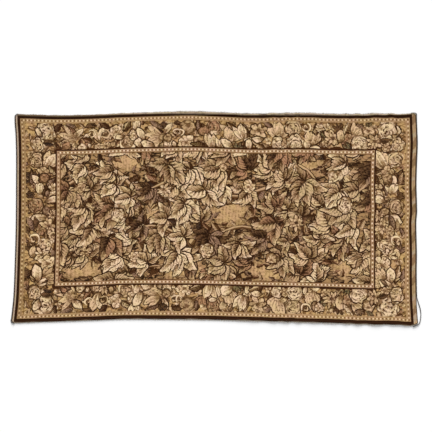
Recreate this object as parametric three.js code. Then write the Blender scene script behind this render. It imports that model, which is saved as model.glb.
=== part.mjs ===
// A machine-woven verdure tapestry, lying face up and flat. The picture's top is at the left (-X) end.
// One thick sheet of cloth carries the picture, its flower border and its beaded guard stripes. At each end
// a plain woven strip is edged with a dark cord. On the right end the last stretch of the cord has come
// loose and bows out round the lower corner.
// Millimetres, +Z up, +X along the long sides. The origin is under the middle, on the surface.

import * as THREE from 'three';

// The flat cloth
const CLOTH_LENGTH = 1896;
const CLOTH_WIDTH = 990;
const CLOTH_THICKNESS = 2;

// The rolled selvedge along each long side: how far in from the edge, and its under and upper faces there
const SELVEDGE = [
  { inset: 0, under: 0.6, upper: 2 },
  { inset: 2.5, under: 0, upper: 3 },
  { inset: 7, under: 0, upper: 3 },
  { inset: 10, under: 0, upper: CLOTH_THICKNESS },
];

// The rows of the sheet between the selvedges, closer together where the ends flare out
const ROWS_BETWEEN = [10, 45, 85, 126, 190, 280, 390, 500, 610, 720, 815, 905, 955, 980];

// The columns of the sheet: close together at the corners, which are rounded, and in the puckered half
const CORNER_COLUMNS = [0, 3, 7, 12, 20];
const SMOOTH_COLUMN_STEP = 38;
const PUCKERED_COLUMN_STEP = 17.5;

// How far each edge lies outside (+) or inside (-) the flat rectangle's own edge. Along the long sides
// `at` is measured from the left end, and along the two ends it is measured from the lower long side.
const UPPER_SIDE = [
  { at: 0, out: -5 },
  { at: 7, out: 1 },
  { at: 20, out: 2 },
  { at: 205, out: -3 },
  { at: 371, out: 0 },
  { at: 499, out: 6 },
  { at: 656, out: 11 },
  { at: 832, out: 15 },
  { at: 965, out: 10 },
  { at: 1107, out: 4 },
  { at: 1250, out: 6 },
  { at: 1368, out: 7 },
  { at: 1475, out: 3 },
  { at: 1600, out: 2 },
  { at: 1763, out: 5 },
  { at: 1830, out: 3 },
  { at: 1886, out: 7 },
  { at: 1896, out: 4 },
];
const LOWER_SIDE = [
  { at: 0, out: -9 },
  { at: 7, out: -4 },
  { at: 20, out: -2 },
  { at: 124, out: -6 },
  { at: 281, out: -11 },
  { at: 418, out: -16 },
  { at: 510, out: -20 },
  { at: 680, out: -20 },
  { at: 893, out: -18 },
  { at: 1060, out: -14 },
  { at: 1202, out: -10 },
  { at: 1345, out: -6 },
  { at: 1500, out: -2 },
  { at: 1630, out: 4 },
  { at: 1796, out: 7 },
  { at: 1860, out: 12 },
  { at: 1884, out: 7 },
  { at: 1896, out: 0 },
];
const LEFT_END = [
  { at: 0, out: 25 },
  { at: 46, out: 20 },
  { at: 103, out: 14 },
  { at: 174, out: 10 },
  { at: 293, out: 6 },
  { at: 388, out: 3 },
  { at: 502, out: 1 },
  { at: 673, out: 0 },
  { at: 815, out: 0 },
  { at: 910, out: 3 },
  { at: 960, out: 7 },
  { at: 990, out: 6 },
];
const RIGHT_END = [
  { at: 0, out: 9 },
  { at: 55, out: 5 },
  { at: 122, out: 1 },
  { at: 245, out: -1 },
  { at: 326, out: 0 },
  { at: 478, out: -3 },
  { at: 530, out: 1 },
  { at: 649, out: -2 },
  { at: 744, out: 0 },
  { at: 853, out: 4 },
  { at: 910, out: 2 },
  { at: 970, out: 0 },
  { at: 990, out: -1 },
];

// The long sides' right halves are slightly puckered: the edge waves in and out and lifts a little
const PUCKER_PITCH = 70;
const PUCKER_DEPTH = 1.8;
const PUCKER_LIFT = 2.4;
const PUCKER_REACH = 55;
const PUCKER_FROM = 950;
const PUCKER_FULL = 1150;
const PUCKER_UNTIL = 1830;
const PUCKER_GONE = 1896;

// The edge cords
const CORD_DIAMETER = 3.8;
const CORD_SIDES = 8;
const CORD_GAP = 0.3;
const CORD_POINT_STEP = 20;
const CORD_STEP = 20;
const SEWN_UNTIL = 126;
const LOOSE_GAP = 0.6;
const LOOSE_STEP = 9;

// The loose stretch, from the last stitch round the lower right corner: its middle line, measured from the
// flat cloth's lower right corner. Its first point follows on from the sewn stretch.
const LOOSE_ROUTE = [
  { x: 5.6, y: 114 },
  { x: 10.5, y: 99 },
  { x: 16.5, y: 80 },
  { x: 21, y: 61 },
  { x: 22.6, y: 43 },
  { x: 21.6, y: 27 },
  { x: 19.2, y: 12 },
  { x: 15.8, y: 1.5 },
  { x: 10.5, y: -5 },
  { x: 2, y: -9.4 },
  { x: -7, y: -13 },
  { x: -15.5, y: -16 },
];

const CLOTH_MATERIAL = { color: 0xa88a60, roughness: 0.95, metalness: 0 };
const CORD_MATERIAL = { color: 0x3a352e, roughness: 0.9, metalness: 0 };

// A smooth curve through a table's rows: its value at a place between two rows
function smoothly(table, at) {
  const last = table.length - 1;
  let i = 0;
  while (i < last - 1 && at > table[i + 1].at) i += 1;
  const slope = (k) => {
    const low = table[Math.max(k - 1, 0)];
    const high = table[Math.min(k + 1, last)];
    return (high.out - low.out) / (high.at - low.at);
  };
  const [a, b] = [table[i], table[i + 1]];
  const span = b.at - a.at;
  const t = THREE.MathUtils.clamp((at - a.at) / span, 0, 1);
  const rise = t * t * (3 - 2 * t);
  const leave = t * (1 - t) * (1 - t) * span * slope(i);
  const arrive = t * t * (t - 1) * span * slope(i + 1);
  return a.out + (b.out - a.out) * rise + leave + arrive;
}

// How strongly the puckers show at a place along the long sides, from 0 to 1
function puckered(along) {
  const begins = THREE.MathUtils.smoothstep(along, PUCKER_FROM, PUCKER_FULL);
  return begins * (1 - THREE.MathUtils.smoothstep(along, PUCKER_UNTIL, PUCKER_GONE));
}

function puckerWave(along) {
  return puckered(along) * Math.sin((2 * Math.PI * along) / PUCKER_PITCH);
}

// Where a point of the flat cloth lies on the surface
function place(along, across) {
  const u = along / CLOTH_LENGTH;
  const v = across / CLOTH_WIDTH;
  const left = -CLOTH_LENGTH / 2 - smoothly(LEFT_END, across);
  const right = CLOTH_LENGTH / 2 + smoothly(RIGHT_END, across);
  const wave = PUCKER_DEPTH * puckerWave(along);
  const lower = -CLOTH_WIDTH / 2 - smoothly(LOWER_SIDE, along) - wave;
  const upper = CLOTH_WIDTH / 2 + smoothly(UPPER_SIDE, along) + wave;
  return new THREE.Vector2(left + (right - left) * u, lower + (upper - lower) * v);
}

// How far the cloth lifts off the surface in the puckers, which fade inwards from the long sides
function lift(along, across) {
  const inset = Math.min(across, CLOTH_WIDTH - across);
  const fade = 1 - THREE.MathUtils.smoothstep(inset, 0, PUCKER_REACH);
  const bump = 0.5 * (puckered(along) + puckerWave(along));
  return PUCKER_LIFT * fade * bump;
}

// The under or upper face's height over the surface, before any lift
function faceHeight(across, face) {
  const inset = Math.min(across, CLOTH_WIDTH - across);
  const row = SELVEDGE.find((one) => Math.abs(one.inset - inset) < 0.01);
  return (row ?? SELVEDGE[SELVEDGE.length - 1])[face];
}

function columnPlaces() {
  const corner = CORNER_COLUMNS[CORNER_COLUMNS.length - 1];
  const places = CORNER_COLUMNS.slice(0, -1);
  for (let at = corner; at < PUCKER_FROM; at += SMOOTH_COLUMN_STEP) places.push(at);
  const last = CLOTH_LENGTH - corner;
  for (let at = PUCKER_FROM; at < last - 1; at += PUCKERED_COLUMN_STEP) places.push(at);
  for (const inset of [...CORNER_COLUMNS].reverse()) places.push(CLOTH_LENGTH - inset);
  return places;
}

function rowPlaces() {
  const insets = SELVEDGE.map((row) => row.inset).slice(0, -1);
  return [...insets, ...ROWS_BETWEEN, ...insets.reverse().map((inset) => CLOTH_WIDTH - inset)];
}

// The cloth: a box with a grid on its two faces, each point carried to its place on the lying cloth
function clothGeometry() {
  const columns = columnPlaces();
  const rows = rowPlaces();
  const geometry = new THREE.BoxGeometry(1, 1, 1, columns.length - 1, rows.length - 1, 1);
  const points = geometry.attributes.position;
  for (let i = 0; i < points.count; i += 1) {
    const along = columns[Math.round((points.getX(i) + 0.5) * (columns.length - 1))];
    const across = rows[Math.round((points.getY(i) + 0.5) * (rows.length - 1))];
    const face = points.getZ(i) > 0 ? 'upper' : 'under';
    const spot = place(along, across);
    points.setXYZ(i, spot.x, spot.y, faceHeight(across, face) + lift(along, across));
  }
  return geometry;
}

// A sewn cord's route: a little outside the cloth's end, from one place up it to another
function besideEnd(end, from, to) {
  const along = end < 0 ? 0 : CLOTH_LENGTH;
  const away = CORD_DIAMETER / 2 + CORD_GAP;
  const spots = rowPlaces()
    .filter((across) => across >= from && across <= to)
    .map((across) => place(along, across));
  const route = [];
  for (let i = 0; i + 1 < spots.length; i += 1) {
    const stretch = spots[i + 1].clone().sub(spots[i]);
    const outward = new THREE.Vector2(end * stretch.y, -end * stretch.x).setLength(away);
    const count = Math.ceil(stretch.length() / CORD_POINT_STEP);
    for (let k = i === 0 ? 0 : 1; k <= count; k += 1) {
      const spot = spots[i].clone().addScaledVector(stretch, k / count).add(outward);
      route.push(new THREE.Vector3(spot.x, spot.y, CORD_DIAMETER / 2));
    }
  }
  return route;
}

// The loose stretch starts just under the sewn stretch's last face
function looseRoute(sewn) {
  const start = new THREE.Vector3(sewn.x, sewn.y - LOOSE_GAP, sewn.z);
  const free = LOOSE_ROUTE.map(
    ({ x, y }) => new THREE.Vector3(CLOTH_LENGTH / 2 + x, y - CLOTH_WIDTH / 2, sewn.z),
  );
  return [start, ...free];
}

function cordGeometry(route, step) {
  const path = new THREE.CatmullRomCurve3(route, false, 'centripetal');
  const section = new THREE.Shape();
  for (let i = 0; i < CORD_SIDES; i += 1) {
    const turn = (2 * Math.PI * (i + 0.5)) / CORD_SIDES;
    const corner = [Math.cos(turn) * (CORD_DIAMETER / 2), Math.sin(turn) * (CORD_DIAMETER / 2)];
    if (i === 0) section.moveTo(...corner);
    else section.lineTo(...corner);
  }
  section.closePath();
  const steps = Math.round(path.getLength() / step);
  return new THREE.ExtrudeGeometry(section, { steps, bevelEnabled: false, extrudePath: path });
}

function piece(name, geometry, look) {
  const mesh = new THREE.Mesh(geometry, new THREE.MeshStandardMaterial(look));
  mesh.name = name;
  return mesh;
}

const leftRoute = besideEnd(-1, 0, CLOTH_WIDTH);
const rightRoute = besideEnd(1, SEWN_UNTIL, CLOTH_WIDTH);
const lying = new THREE.Group();
lying.add(piece('tapestry_cloth', clothGeometry(), CLOTH_MATERIAL));
lying.add(piece('edge_cord_left', cordGeometry(leftRoute, CORD_STEP), CORD_MATERIAL));
lying.add(piece('edge_cord_right', cordGeometry(rightRoute, CORD_STEP), CORD_MATERIAL));

// The origin goes under the middle of the cloth with its sewn cords, and the loose stretch goes along
const box = new THREE.Box3().setFromObject(lying);
const middle = box.getCenter(new THREE.Vector3());
lying.position.set(-middle.x, -middle.y, -box.min.z);
const free = looseRoute(rightRoute[0]);
lying.add(piece('edge_cord_loose', cordGeometry(free, LOOSE_STEP), CORD_MATERIAL));

const tapestry = new THREE.Group();
tapestry.add(lying);

export default tapestry;
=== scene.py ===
# %% [markdown]
# # A woven verdure tapestry, lying flat
# The object is one sheet of jacquard-woven cloth, face up, with the picture's top at its left (-X) end.
# The CAD model holds the sheet and its edge cords. Here the sheet gets its woven design and its weave, and
# the cords get their twist. The frame is loaded first, because every size comes from it.

# %% Load the frame
from itertools import chain

import bpy
import numpy as np
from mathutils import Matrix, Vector
from mathutils.geometry import delaunay_2d_cdt
from mathutils.bvhtree import BVHTree
from mathutils.kdtree import KDTree


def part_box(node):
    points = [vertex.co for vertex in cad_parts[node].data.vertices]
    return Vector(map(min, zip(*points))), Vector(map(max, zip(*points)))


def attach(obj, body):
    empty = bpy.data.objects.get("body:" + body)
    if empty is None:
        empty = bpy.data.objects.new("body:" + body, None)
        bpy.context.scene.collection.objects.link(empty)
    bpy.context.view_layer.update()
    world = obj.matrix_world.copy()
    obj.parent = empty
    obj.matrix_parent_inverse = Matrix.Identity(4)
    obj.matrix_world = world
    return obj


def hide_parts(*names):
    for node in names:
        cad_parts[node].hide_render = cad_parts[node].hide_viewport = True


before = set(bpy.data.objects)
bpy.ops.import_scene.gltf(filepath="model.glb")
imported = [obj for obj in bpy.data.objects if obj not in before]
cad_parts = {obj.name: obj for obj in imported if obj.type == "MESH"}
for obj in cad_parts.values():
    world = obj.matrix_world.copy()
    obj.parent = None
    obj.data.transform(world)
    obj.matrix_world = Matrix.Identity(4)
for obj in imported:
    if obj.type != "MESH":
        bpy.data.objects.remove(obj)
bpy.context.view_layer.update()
MM = 0.001  # metres

# %% [markdown]
# ## The camera
# The photograph looks straight down at the sheet, so the camera hangs over it, with +Y up in the picture.
# A long lens keeps the sheet's long sides straight. The height follows from how much floor is in view.

# %% The camera
FRAME_WIDTH = 2.052  # metres of floor across the picture
LENS, SENSOR = 85, 36  # millimetres
CAMERA_OVER = (0.0076, 0.0131)  # where the middle of the picture falls on the floor
camera_height = FRAME_WIDTH * LENS / SENSOR
bpy.ops.object.camera_add(location=(*CAMERA_OVER, camera_height), rotation=(0, 0, 0))
camera = bpy.context.object
camera.data.lens, camera.data.sensor_width = LENS, SENSOR
camera.data.clip_end = 100
bpy.context.scene.camera = camera
print("camera height, metres:", round(camera_height, 3))

# %% [markdown]
# ## Where a point of the flat cloth lies
# Cloth that came off a loom as a rectangle has edges that wander when it is laid down. Each edge has a
# short table of how far it lies outside (+) or inside (-) the rectangle's own edge, and a smooth curve
# runs through the rows. These are the CAD model's own tables, so the woven sheet lies on the CAD one.

# %% The lying cloth's edges
CLOTH_LENGTH, CLOTH_WIDTH = 1896, 990  # millimetres, flat

# Columns: how far along the side, how far out. The long sides are measured from the left end, and the
# ends from the lower long side.
UPPER_SIDE = [
    (0, -5), (7, 1), (20, 2), (205, -3), (371, 0), (499, 6), (656, 11), (832, 15), (965, 10),
    (1107, 4), (1250, 6), (1368, 7), (1475, 3), (1600, 2), (1763, 5), (1830, 3), (1886, 7), (1896, 4),
]
LOWER_SIDE = [
    (0, -9), (7, -4), (20, -2), (124, -6), (281, -11), (418, -16), (510, -20), (680, -20), (893, -18),
    (1060, -14), (1202, -10), (1345, -6), (1500, -2), (1630, 4), (1796, 7), (1860, 12), (1884, 7),
    (1896, 0),
]
LEFT_END = [
    (0, 25), (46, 20), (103, 14), (174, 10), (293, 6), (388, 3), (502, 1), (673, 0), (815, 0),
    (910, 3), (960, 7), (990, 6),
]
RIGHT_END = [
    (0, 9), (55, 5), (122, 1), (245, -1), (326, 0), (478, -3), (530, 1), (649, -2), (744, 0),
    (853, 4), (910, 2), (970, 0), (990, -1),
]

# The long sides' right halves are slightly puckered: the edge waves in and out and lifts a little. Beside
# the CAD edge's even wave, the puckers drift and swell a little here, and are shallower on the lower side.
PUCKER_DRIFT, PUCKER_DRIFT_PITCH, LOWER_SHARE = 1.4, 260, 0.35
PUCKER_SWELL, PUCKER_SWELL_PITCH = 0.4, 390
PUCKER_PITCH, PUCKER_DEPTH, PUCKER_LIFT, PUCKER_REACH = 70, 1.8, 2.4, 55
PUCKER_FROM, PUCKER_FULL, PUCKER_UNTIL, PUCKER_GONE = 950, 1150, 1830, 1896


def smoothly(table, at):
    """A table's smooth curve: its value at each of the places given."""
    places, values = np.array(table, float).T
    low = np.r_[0, 0 : len(places) - 1]
    high = np.r_[1 : len(places), len(places) - 1]
    slopes = (values[high] - values[low]) / (places[high] - places[low])
    k = np.clip(np.searchsorted(places, at) - 1, 0, len(places) - 2)
    span = places[k + 1] - places[k]
    t = np.clip((at - places[k]) / span, 0, 1)
    rise = t * t * (3 - 2 * t)
    leave = t * (1 - t) ** 2 * span * slopes[k]
    arrive = t * t * (t - 1) * span * slopes[k + 1]
    return values[k] + (values[k + 1] - values[k]) * rise + leave + arrive


def smoothstep(value, low, high):
    t = np.clip((value - low) / (high - low), 0, 1)
    return t * t * (3 - 2 * t)


def puckered(along):
    """How strongly the puckers show, from 0 to 1."""
    begins = smoothstep(along, PUCKER_FROM, PUCKER_FULL)
    return begins * (1 - smoothstep(along, PUCKER_UNTIL, PUCKER_GONE))


def pucker_wave(along):
    drift = PUCKER_DRIFT * np.sin(2 * np.pi * along / PUCKER_DRIFT_PITCH)
    swell = 1 - PUCKER_SWELL + PUCKER_SWELL * np.sin(2 * np.pi * along / PUCKER_SWELL_PITCH)
    return puckered(along) * swell * np.sin(2 * np.pi * along / PUCKER_PITCH + drift)


def lying(along, across):
    """Where points of the flat cloth lie, in millimetres, before the sheet is centred on its frame."""
    left = -CLOTH_LENGTH / 2 - smoothly(LEFT_END, across)
    right = CLOTH_LENGTH / 2 + smoothly(RIGHT_END, across)
    wave = PUCKER_DEPTH * pucker_wave(along)
    lower = -CLOTH_WIDTH / 2 - smoothly(LOWER_SIDE, along) - LOWER_SHARE * wave
    upper = CLOTH_WIDTH / 2 + smoothly(UPPER_SIDE, along) + wave
    x = left + (right - left) * along / CLOTH_LENGTH
    y = lower + (upper - lower) * across / CLOTH_WIDTH
    return np.stack([x, y], -1)


def lift(along, across):
    """How far the cloth lifts off the surface, in the puckers along the long sides."""
    inset = np.minimum(across, CLOTH_WIDTH - across)
    fade = 1 - smoothstep(inset, 0, PUCKER_REACH)
    return PUCKER_LIFT * fade * 0.5 * (puckered(along) + pucker_wave(along))


def edge_points(step=10):
    """The flat cloth's outline, once round from the lower left corner."""
    along = np.linspace(0, CLOTH_LENGTH, int(CLOTH_LENGTH / step) + 1)
    across = np.linspace(0, CLOTH_WIDTH, int(CLOTH_WIDTH / step) + 1)
    painted_light_dyes = [
        (along, 0 * along), (0 * across + CLOTH_LENGTH, across),
        (along[::-1], 0 * along + CLOTH_WIDTH), (0 * across, across[::-1]),
    ]
    return np.concatenate([np.stack(side, 1) for side in painted_light_dyes])


cloth_low, cloth_high = (np.array(corner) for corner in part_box("tapestry_cloth"))
outline = lying(*edge_points().T) * MM
CENTRING = (cloth_low[:2] + cloth_high[:2] - outline.min(0) - outline.max(0)) / 2


def place(along, across):
    """Where points of the flat cloth lie, in metres, in the frame."""
    return lying(along, across) * MM + CENTRING


print("sheet sits on the CAD sheet to, mm:", np.abs(place(*edge_points().T).min(0) - cloth_low[:2]) / MM)

# %% [markdown]
# ## Colour and nodes
# Colours are read off the cloth as sRGB hex values, and Blender's materials want them linear. One small
# function adds a shader node with its settings and links, so each material reads as a list of steps.

# %% Helpers for materials
def linear(colour):
    """An sRGB hex colour as linear red, green and blue."""
    parts = np.array([int(colour[k : k + 2], 16) for k in (1, 3, 5)]) / 255
    return np.where(parts <= 0.04045, parts / 12.92, ((parts + 0.055) / 1.055) ** 2.4)


def node(tree, kind, inputs=None, **settings):
    """Adds a node, with its settings, and each input's value or the output that it is linked to."""
    made = tree.nodes.new(kind)
    for name, value in settings.items():
        setattr(made, name, value)
    for name, value in (inputs or {}).items():
        if isinstance(value, bpy.types.NodeSocket):
            tree.links.new(value, made.inputs[name])
        else:
            made.inputs[name].default_value = value
    return made


def new_material(name):
    material = bpy.data.materials.new(name)
    material.use_nodes = True
    material.node_tree.nodes.clear()
    return material, material.node_tree


# %% [markdown]
# ## The edge cords
# A twisted cord edges each end of the cloth. Such a cord is three yarns laid round each other, so its
# section is a three-lobed shape that turns as it runs. One tube with that section, turned a little more at
# each ring, gives the twist with few faces. The sewn cords follow the ends and tuck round the corners. The
# last stretch at the lower right has come loose and bows out, as a free cord of its own.

# %% Cord shapes
CORD_DIAMETER, CORD_GAP = 3.8, 0.3
CORD_SIDES, CORD_RING_STEP, CORD_LAY = 12, 1.9, 15  # sides, mm between rings, mm for one full turn
YARNS, YARN_BULGE = 3, 0.16
SEWN_UNTIL, LOOSE_GAP = 126, 0.6  # mm up from the lower corner, and mm between the two stretches

# The loose stretch's middle line, measured from the flat cloth's lower right corner
LOOSE_ROUTE = [
    (5.6, 114), (10.5, 99), (16.5, 80), (21, 61), (22.6, 43), (21.6, 27), (19.2, 12), (15.8, 1.5),
    (10.5, -5), (2, -9.4), (-7, -13), (-15.5, -16),
]


def evenly(route, step):
    """Points step apart along a smooth curve through a route's points."""
    bpy.ops.object.select_all(action="DESELECT")
    data = bpy.data.curves.new("route", "CURVE")
    data.dimensions, data.resolution_u = "3D", 12
    spline = data.splines.new("BEZIER")
    spline.bezier_points.add(len(route) - 1)
    for point, spot in zip(spline.bezier_points, route):
        point.co = spot
        point.handle_left_type = point.handle_right_type = "AUTO"
    drawn = bpy.data.objects.new("route", data)
    mesh = bpy.data.meshes.new_from_object(drawn)
    fine = np.array([v.co for v in mesh.vertices])
    bpy.data.objects.remove(drawn)
    bpy.data.meshes.remove(mesh)
    run = np.r_[0, np.cumsum(np.linalg.norm(np.diff(fine, axis=0), axis=1))]
    at = np.linspace(0, run[-1], max(int(run[-1] / step), 2) + 1)
    return np.stack([np.interp(at, run, fine[:, k]) for k in range(3)], 1), run[-1]


def add_mesh(name, points, faces):
    mesh = bpy.data.meshes.new(name)
    mesh.from_pydata(points, [], faces)
    mesh.update()
    piece = bpy.data.objects.new(name, mesh)
    bpy.context.collection.objects.link(piece)
    return piece


def select_only(piece):
    bpy.ops.object.select_all(action="DESELECT")
    piece.select_set(True)
    bpy.context.view_layer.objects.active = piece


def turn_faces_outwards(piece):
    """Lets Blender work out which way each face of a closed skin has to point."""
    select_only(piece)
    bpy.ops.object.mode_set(mode="EDIT")
    bpy.ops.mesh.select_all(action="SELECT")
    bpy.ops.mesh.normals_make_consistent(inside=False)
    bpy.ops.object.mode_set(mode="OBJECT")


def twisted_cord(name, route):
    """A closed tube with a lobed section that turns along the route. Returns it, its middle and length."""
    middle, length = evenly(route, CORD_RING_STEP * MM)
    ahead = np.gradient(middle, axis=0)
    ahead /= np.linalg.norm(ahead, axis=1)[:, None]
    side = np.cross(ahead, [0, 0, 1])
    side /= np.linalg.norm(side, axis=1)[:, None]
    over = np.cross(side, ahead)
    turn = 2 * np.pi * np.arange(CORD_SIDES) / CORD_SIDES
    laid = 2 * np.pi * np.arange(len(middle)) * CORD_RING_STEP / CORD_LAY
    angle = turn[None, :] + laid[:, None]
    radius = CORD_DIAMETER / 2 * MM * (1 - YARN_BULGE + YARN_BULGE * np.cos(YARNS * turn))[None, :]
    sideways = (radius * np.cos(angle))[..., None] * side[:, None]
    upwards = (radius * np.sin(angle))[..., None] * over[:, None]
    points = (middle[:, None] + (sideways + upwards)).reshape(-1, 3)
    faces, rings = [], len(middle)
    for k in range(rings - 1):
        for n in range(CORD_SIDES):
            after = (n + 1) % CORD_SIDES
            faces.append((k * CORD_SIDES + n, k * CORD_SIDES + after,
                          (k + 1) * CORD_SIDES + after, (k + 1) * CORD_SIDES + n))
    faces.append(tuple(range(CORD_SIDES - 1, -1, -1)))
    faces.append(tuple((rings - 1) * CORD_SIDES + n for n in range(CORD_SIDES)))
    piece = add_mesh(name, points, faces)
    turn_faces_outwards(piece)
    bpy.ops.object.shade_smooth()
    return piece, middle, length


def beside(points, side):
    """A route beside a line on the floor, a cord's radius and gap to its left (1) or right (-1)."""
    ahead = np.gradient(points, axis=0)
    ahead /= np.linalg.norm(ahead, axis=1)[:, None]
    away = side * (CORD_DIAMETER / 2 + CORD_GAP) * MM
    beside_it = points + away * np.stack([-ahead[:, 1], ahead[:, 0]], 1)
    return np.c_[beside_it, np.full(len(points), CORD_DIAMETER / 2 * MM)]


def end_edge(end, tuck_low, tuck_high, start=0):
    """The cloth's edge up one end, with the stretches where the cord tucks round the corners."""
    corner = 0 if end < 0 else CLOTH_LENGTH
    inward = -end
    up = np.linspace(start, CLOTH_WIDTH, 60)
    low = [(corner + inward * tuck, 0) for tuck in tuck_low]
    high = [(corner + inward * tuck, CLOTH_WIDTH) for tuck in tuck_high]
    spots = np.array(low + [(corner, across) for across in up] + high, float)
    return place(*spots.T)


# How far in from its corner each point of a tucked cord end lies, in millimetres
LEFT_LOWER_TUCK, LEFT_UPPER_TUCK, RIGHT_UPPER_TUCK = (13, 6), (6, 13), (8, 16, 24)
cords = {
    "left_edge_cord": beside(end_edge(-1, LEFT_LOWER_TUCK, LEFT_UPPER_TUCK), 1),
    "right_edge_cord": beside(end_edge(1, (), RIGHT_UPPER_TUCK, SEWN_UNTIL), -1),
}
loose_start = cords["right_edge_cord"][0] - (0, LOOSE_GAP * MM, 0)
corner = np.array([CLOTH_LENGTH / 2, -CLOTH_WIDTH / 2]) * MM + CENTRING
cords["loose_edge_cord"] = np.array(
    [loose_start] + [(corner[0] + x * MM, corner[1] + y * MM, loose_start[2]) for x, y in LOOSE_ROUTE]
)
made_cords = {}
for name, route in cords.items():
    made_cords[name] = twisted_cord(name, route)
    piece, _, length = made_cords[name]
    print(name, "length, m:", round(length, 3), "faces:", len(piece.data.polygons))

# %% [markdown]
# ## How the woven design is drawn
# The design is a flat picture in coloured yarn. An image texture would be the usual way, and this file
# uses none, so the design is drawn as shapes: each petal, leaf and bead is an outline on the flat cloth,
# and later shapes lie over earlier ones. Blender's Delaunay triangulation then cuts the sheet along all the
# outlines at once, and each triangle takes the look of the topmost shape that it is in. The edges are crisp
# at any distance, and each shape carries its own small grid, so that the material can shade it and draw its
# veins.

# %% Shapes and the pen that places them
shapes = []  # the outlines, from the lowest to the topmost, along + 1j * across in millimetres
stamps = []  # for each shape, the row of numbers that its triangles carry

# A stamp's columns are its zone, whether it is flipped, its pen's spot and direction and its grid's middle
# and reach, two columns each, and then the light dye, the deep dye and the look
LIGHT_DYE, DEEP_DYE, LOOK = slice(10, 13), slice(13, 16), slice(16, 24)
SHADED = slice(17, 20)  # the look's darkness towards the rim, the foot and one side

# What a look is made of: how dark the shape is all over, towards its rim, towards its foot and towards
# one side, how strong its veins are, how many run across and along it, and how much of it is a leafy ground
PLAIN = (0, 0, 0, 0, 0, 0, 0, 0)
PETAL = (-0.08, 0.08, 0.7, 0.3, 0.4, 0, 1.2, 0)
FOLDED = (-0.1, 0.05, 0.6, 0.35, 0.5, 0, 1.1, 0)
BLADE = (0, 0.1, 0.3, 0.6, 0.45, 3, -1.2, 0)
ROUNDED = (-0.05, 0.4, 0.1, 0.5, 0.4, 1, 1, 0)
LEAFY = (0, 0, 0, 0, 0, 0, 0, 1)
BALL = (0.08, 0.25, 0.1, 0.4, 0.4, 1, 1, 0)
HALO = (0.76, 0, 0, 0, 0, 0, 0, 0)
BROKEN = (0.55, 0, 0, 0, 0, 0, 0, 0)
MIXED = (0.3, 0, 0, 0, 0, 0, 0, 0)
chance = np.random.default_rng(11)


class Pen:
    """Carries a motif, drawn in millimetres along +x from its foot, to its spot on the flat cloth."""

    def __init__(self, along, across, turn=0, flip=False, zone=None):
        self.spot = complex(along, across)
        self.turn, self.flip, self.zone = turn, flip, zone

    def at(self, points):
        points = np.asarray(points, complex)
        points = np.conj(points) if self.flip else points
        return self.spot + np.exp(1j * np.radians(self.turn)) * points

    def moved(self, point, turn=0):
        """A pen for a smaller piece of the motif, at a point of it."""
        spot = complex(self.at(point))
        turn = self.turn + (-turn if self.flip else turn)
        return Pen(spot.real, spot.imag, turn, self.flip, self.zone)


WAVERS = ((61, 2.4, 0.4), (37, 1.9, 1.7), (19, 1.1, 2.9))  # length and size in mm, and direction in radians


def wavering(points):
    """Points moved a few millimetres, because a line that is drawn and woven by hand wanders a little."""
    moved = points.copy()
    for length, size, way in WAVERS:
        for turn in (0, 1.3):
            along = (points * np.exp(-1j * (way + turn))).real
            moved += size * np.exp(1j * (way - turn)) * np.sin(2 * np.pi * along / length + turn)
    return moved


def shape(pen, points, dyes, look=PLAIN, steady=False):
    """Adds a filled outline. Its own grid runs from -1 to 1 over the outline's length and its width."""
    points = np.asarray(points, complex)
    low, high = points.real.min() + 1j * points.imag.min(), points.real.max() + 1j * points.imag.max()
    middle, reach = (low + high) / 2, (high - low) / 2
    placed = pen.at(points) if steady else wavering(pen.at(points))
    if (np.conj(placed) * np.roll(placed, -1)).imag.sum() < 0:
        placed = placed[::-1]
    axis = np.exp(1j * np.radians(pen.turn))
    shapes.append(placed)
    stamps.append((
        pen.zone, pen.flip, pen.spot.real, pen.spot.imag, axis.real, axis.imag,
        middle.real, middle.imag, max(reach.real, 1e-3), max(reach.imag, 1e-3),
        *linear(dyes[0]), *linear(dyes[1]), *look,
    ))


def grown(points, by):
    """An outline moved outwards by a distance all round."""
    points = np.asarray(points, complex)
    if (np.conj(points) * np.roll(points, -1)).imag.sum() < 0:
        points = points[::-1]
    ahead = np.roll(points, -1) - np.roll(points, 1)
    return points - 1j * by * ahead / np.maximum(np.abs(ahead), 1e-9)


def edged(pen, points, dyes, look, ink, rim=2.0, steady=False):
    """A shape with a brown line round it, as a weaver sets off each petal."""
    shape(pen, grown(points, rim), (FADED_INK, ink), BROKEN, steady)
    shape(pen, points, dyes, look, steady)


def set_off(pen, motif, size, tone, by=4.5, outer=0.7):
    """Draws a motif with a dark line round the whole of it, under the parts that reach far enough out."""
    first = len(shapes)
    motif(pen, size, tone)
    drawn, marks = shapes[first:], stamps[first:]
    del shapes[first:], stamps[first:]
    plain = Pen(0, 0, zone=pen.zone)
    for points, mark in zip(drawn, marks):
        if any(mark[SHADED]) and np.abs(points - pen.spot).max() > outer * size:
            shape(plain, grown(points, some(by, 0.5)), (FADED_INK, DEEP_INK), HALO, True)
    shapes.extend(drawn)
    stamps.extend(marks)


# %% [markdown]
# ## The yarns
# The cloth is woven from a few yarns, from cream to near-black, all leaning to gold and brown. Where two
# yarns share an area the eye sees their mixture. So each kind of motif has two dyes, its light and its
# deep one, and the material mixes them.

# %% The yarns' colours
INK = "#40240d"
DEEP_INK = "#2c1707"
SOFT_INK = "#4a2d14"
FADED_INK = "#84603b"
TONES = {
    "cream": ("#e0c39d", "#8d6c49"),
    "gold": ("#d2b188", "#80603e"),
    "olive": ("#c5a67d", "#705737"),
    "tan": ("#b8966f", "#66482b"),
    "rust": ("#a67c5a", "#543620"),
    "mauve": ("#98775c", "#4b3323"),
    "dark": ("#6c4d32", "#291608"),
    "green": ("#82704c", "#30271a"),
    "night": ("#4d3828", "#1d120b"),
}

# %% [markdown]
# ## Petals, blossoms and leaves
# A weaver's flowers are built from very few parts: a petal, which may be round, pointed or broad, a
# saw-edged leaf, and a tapering stroke that curls. The border and the field are made of those.

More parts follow.
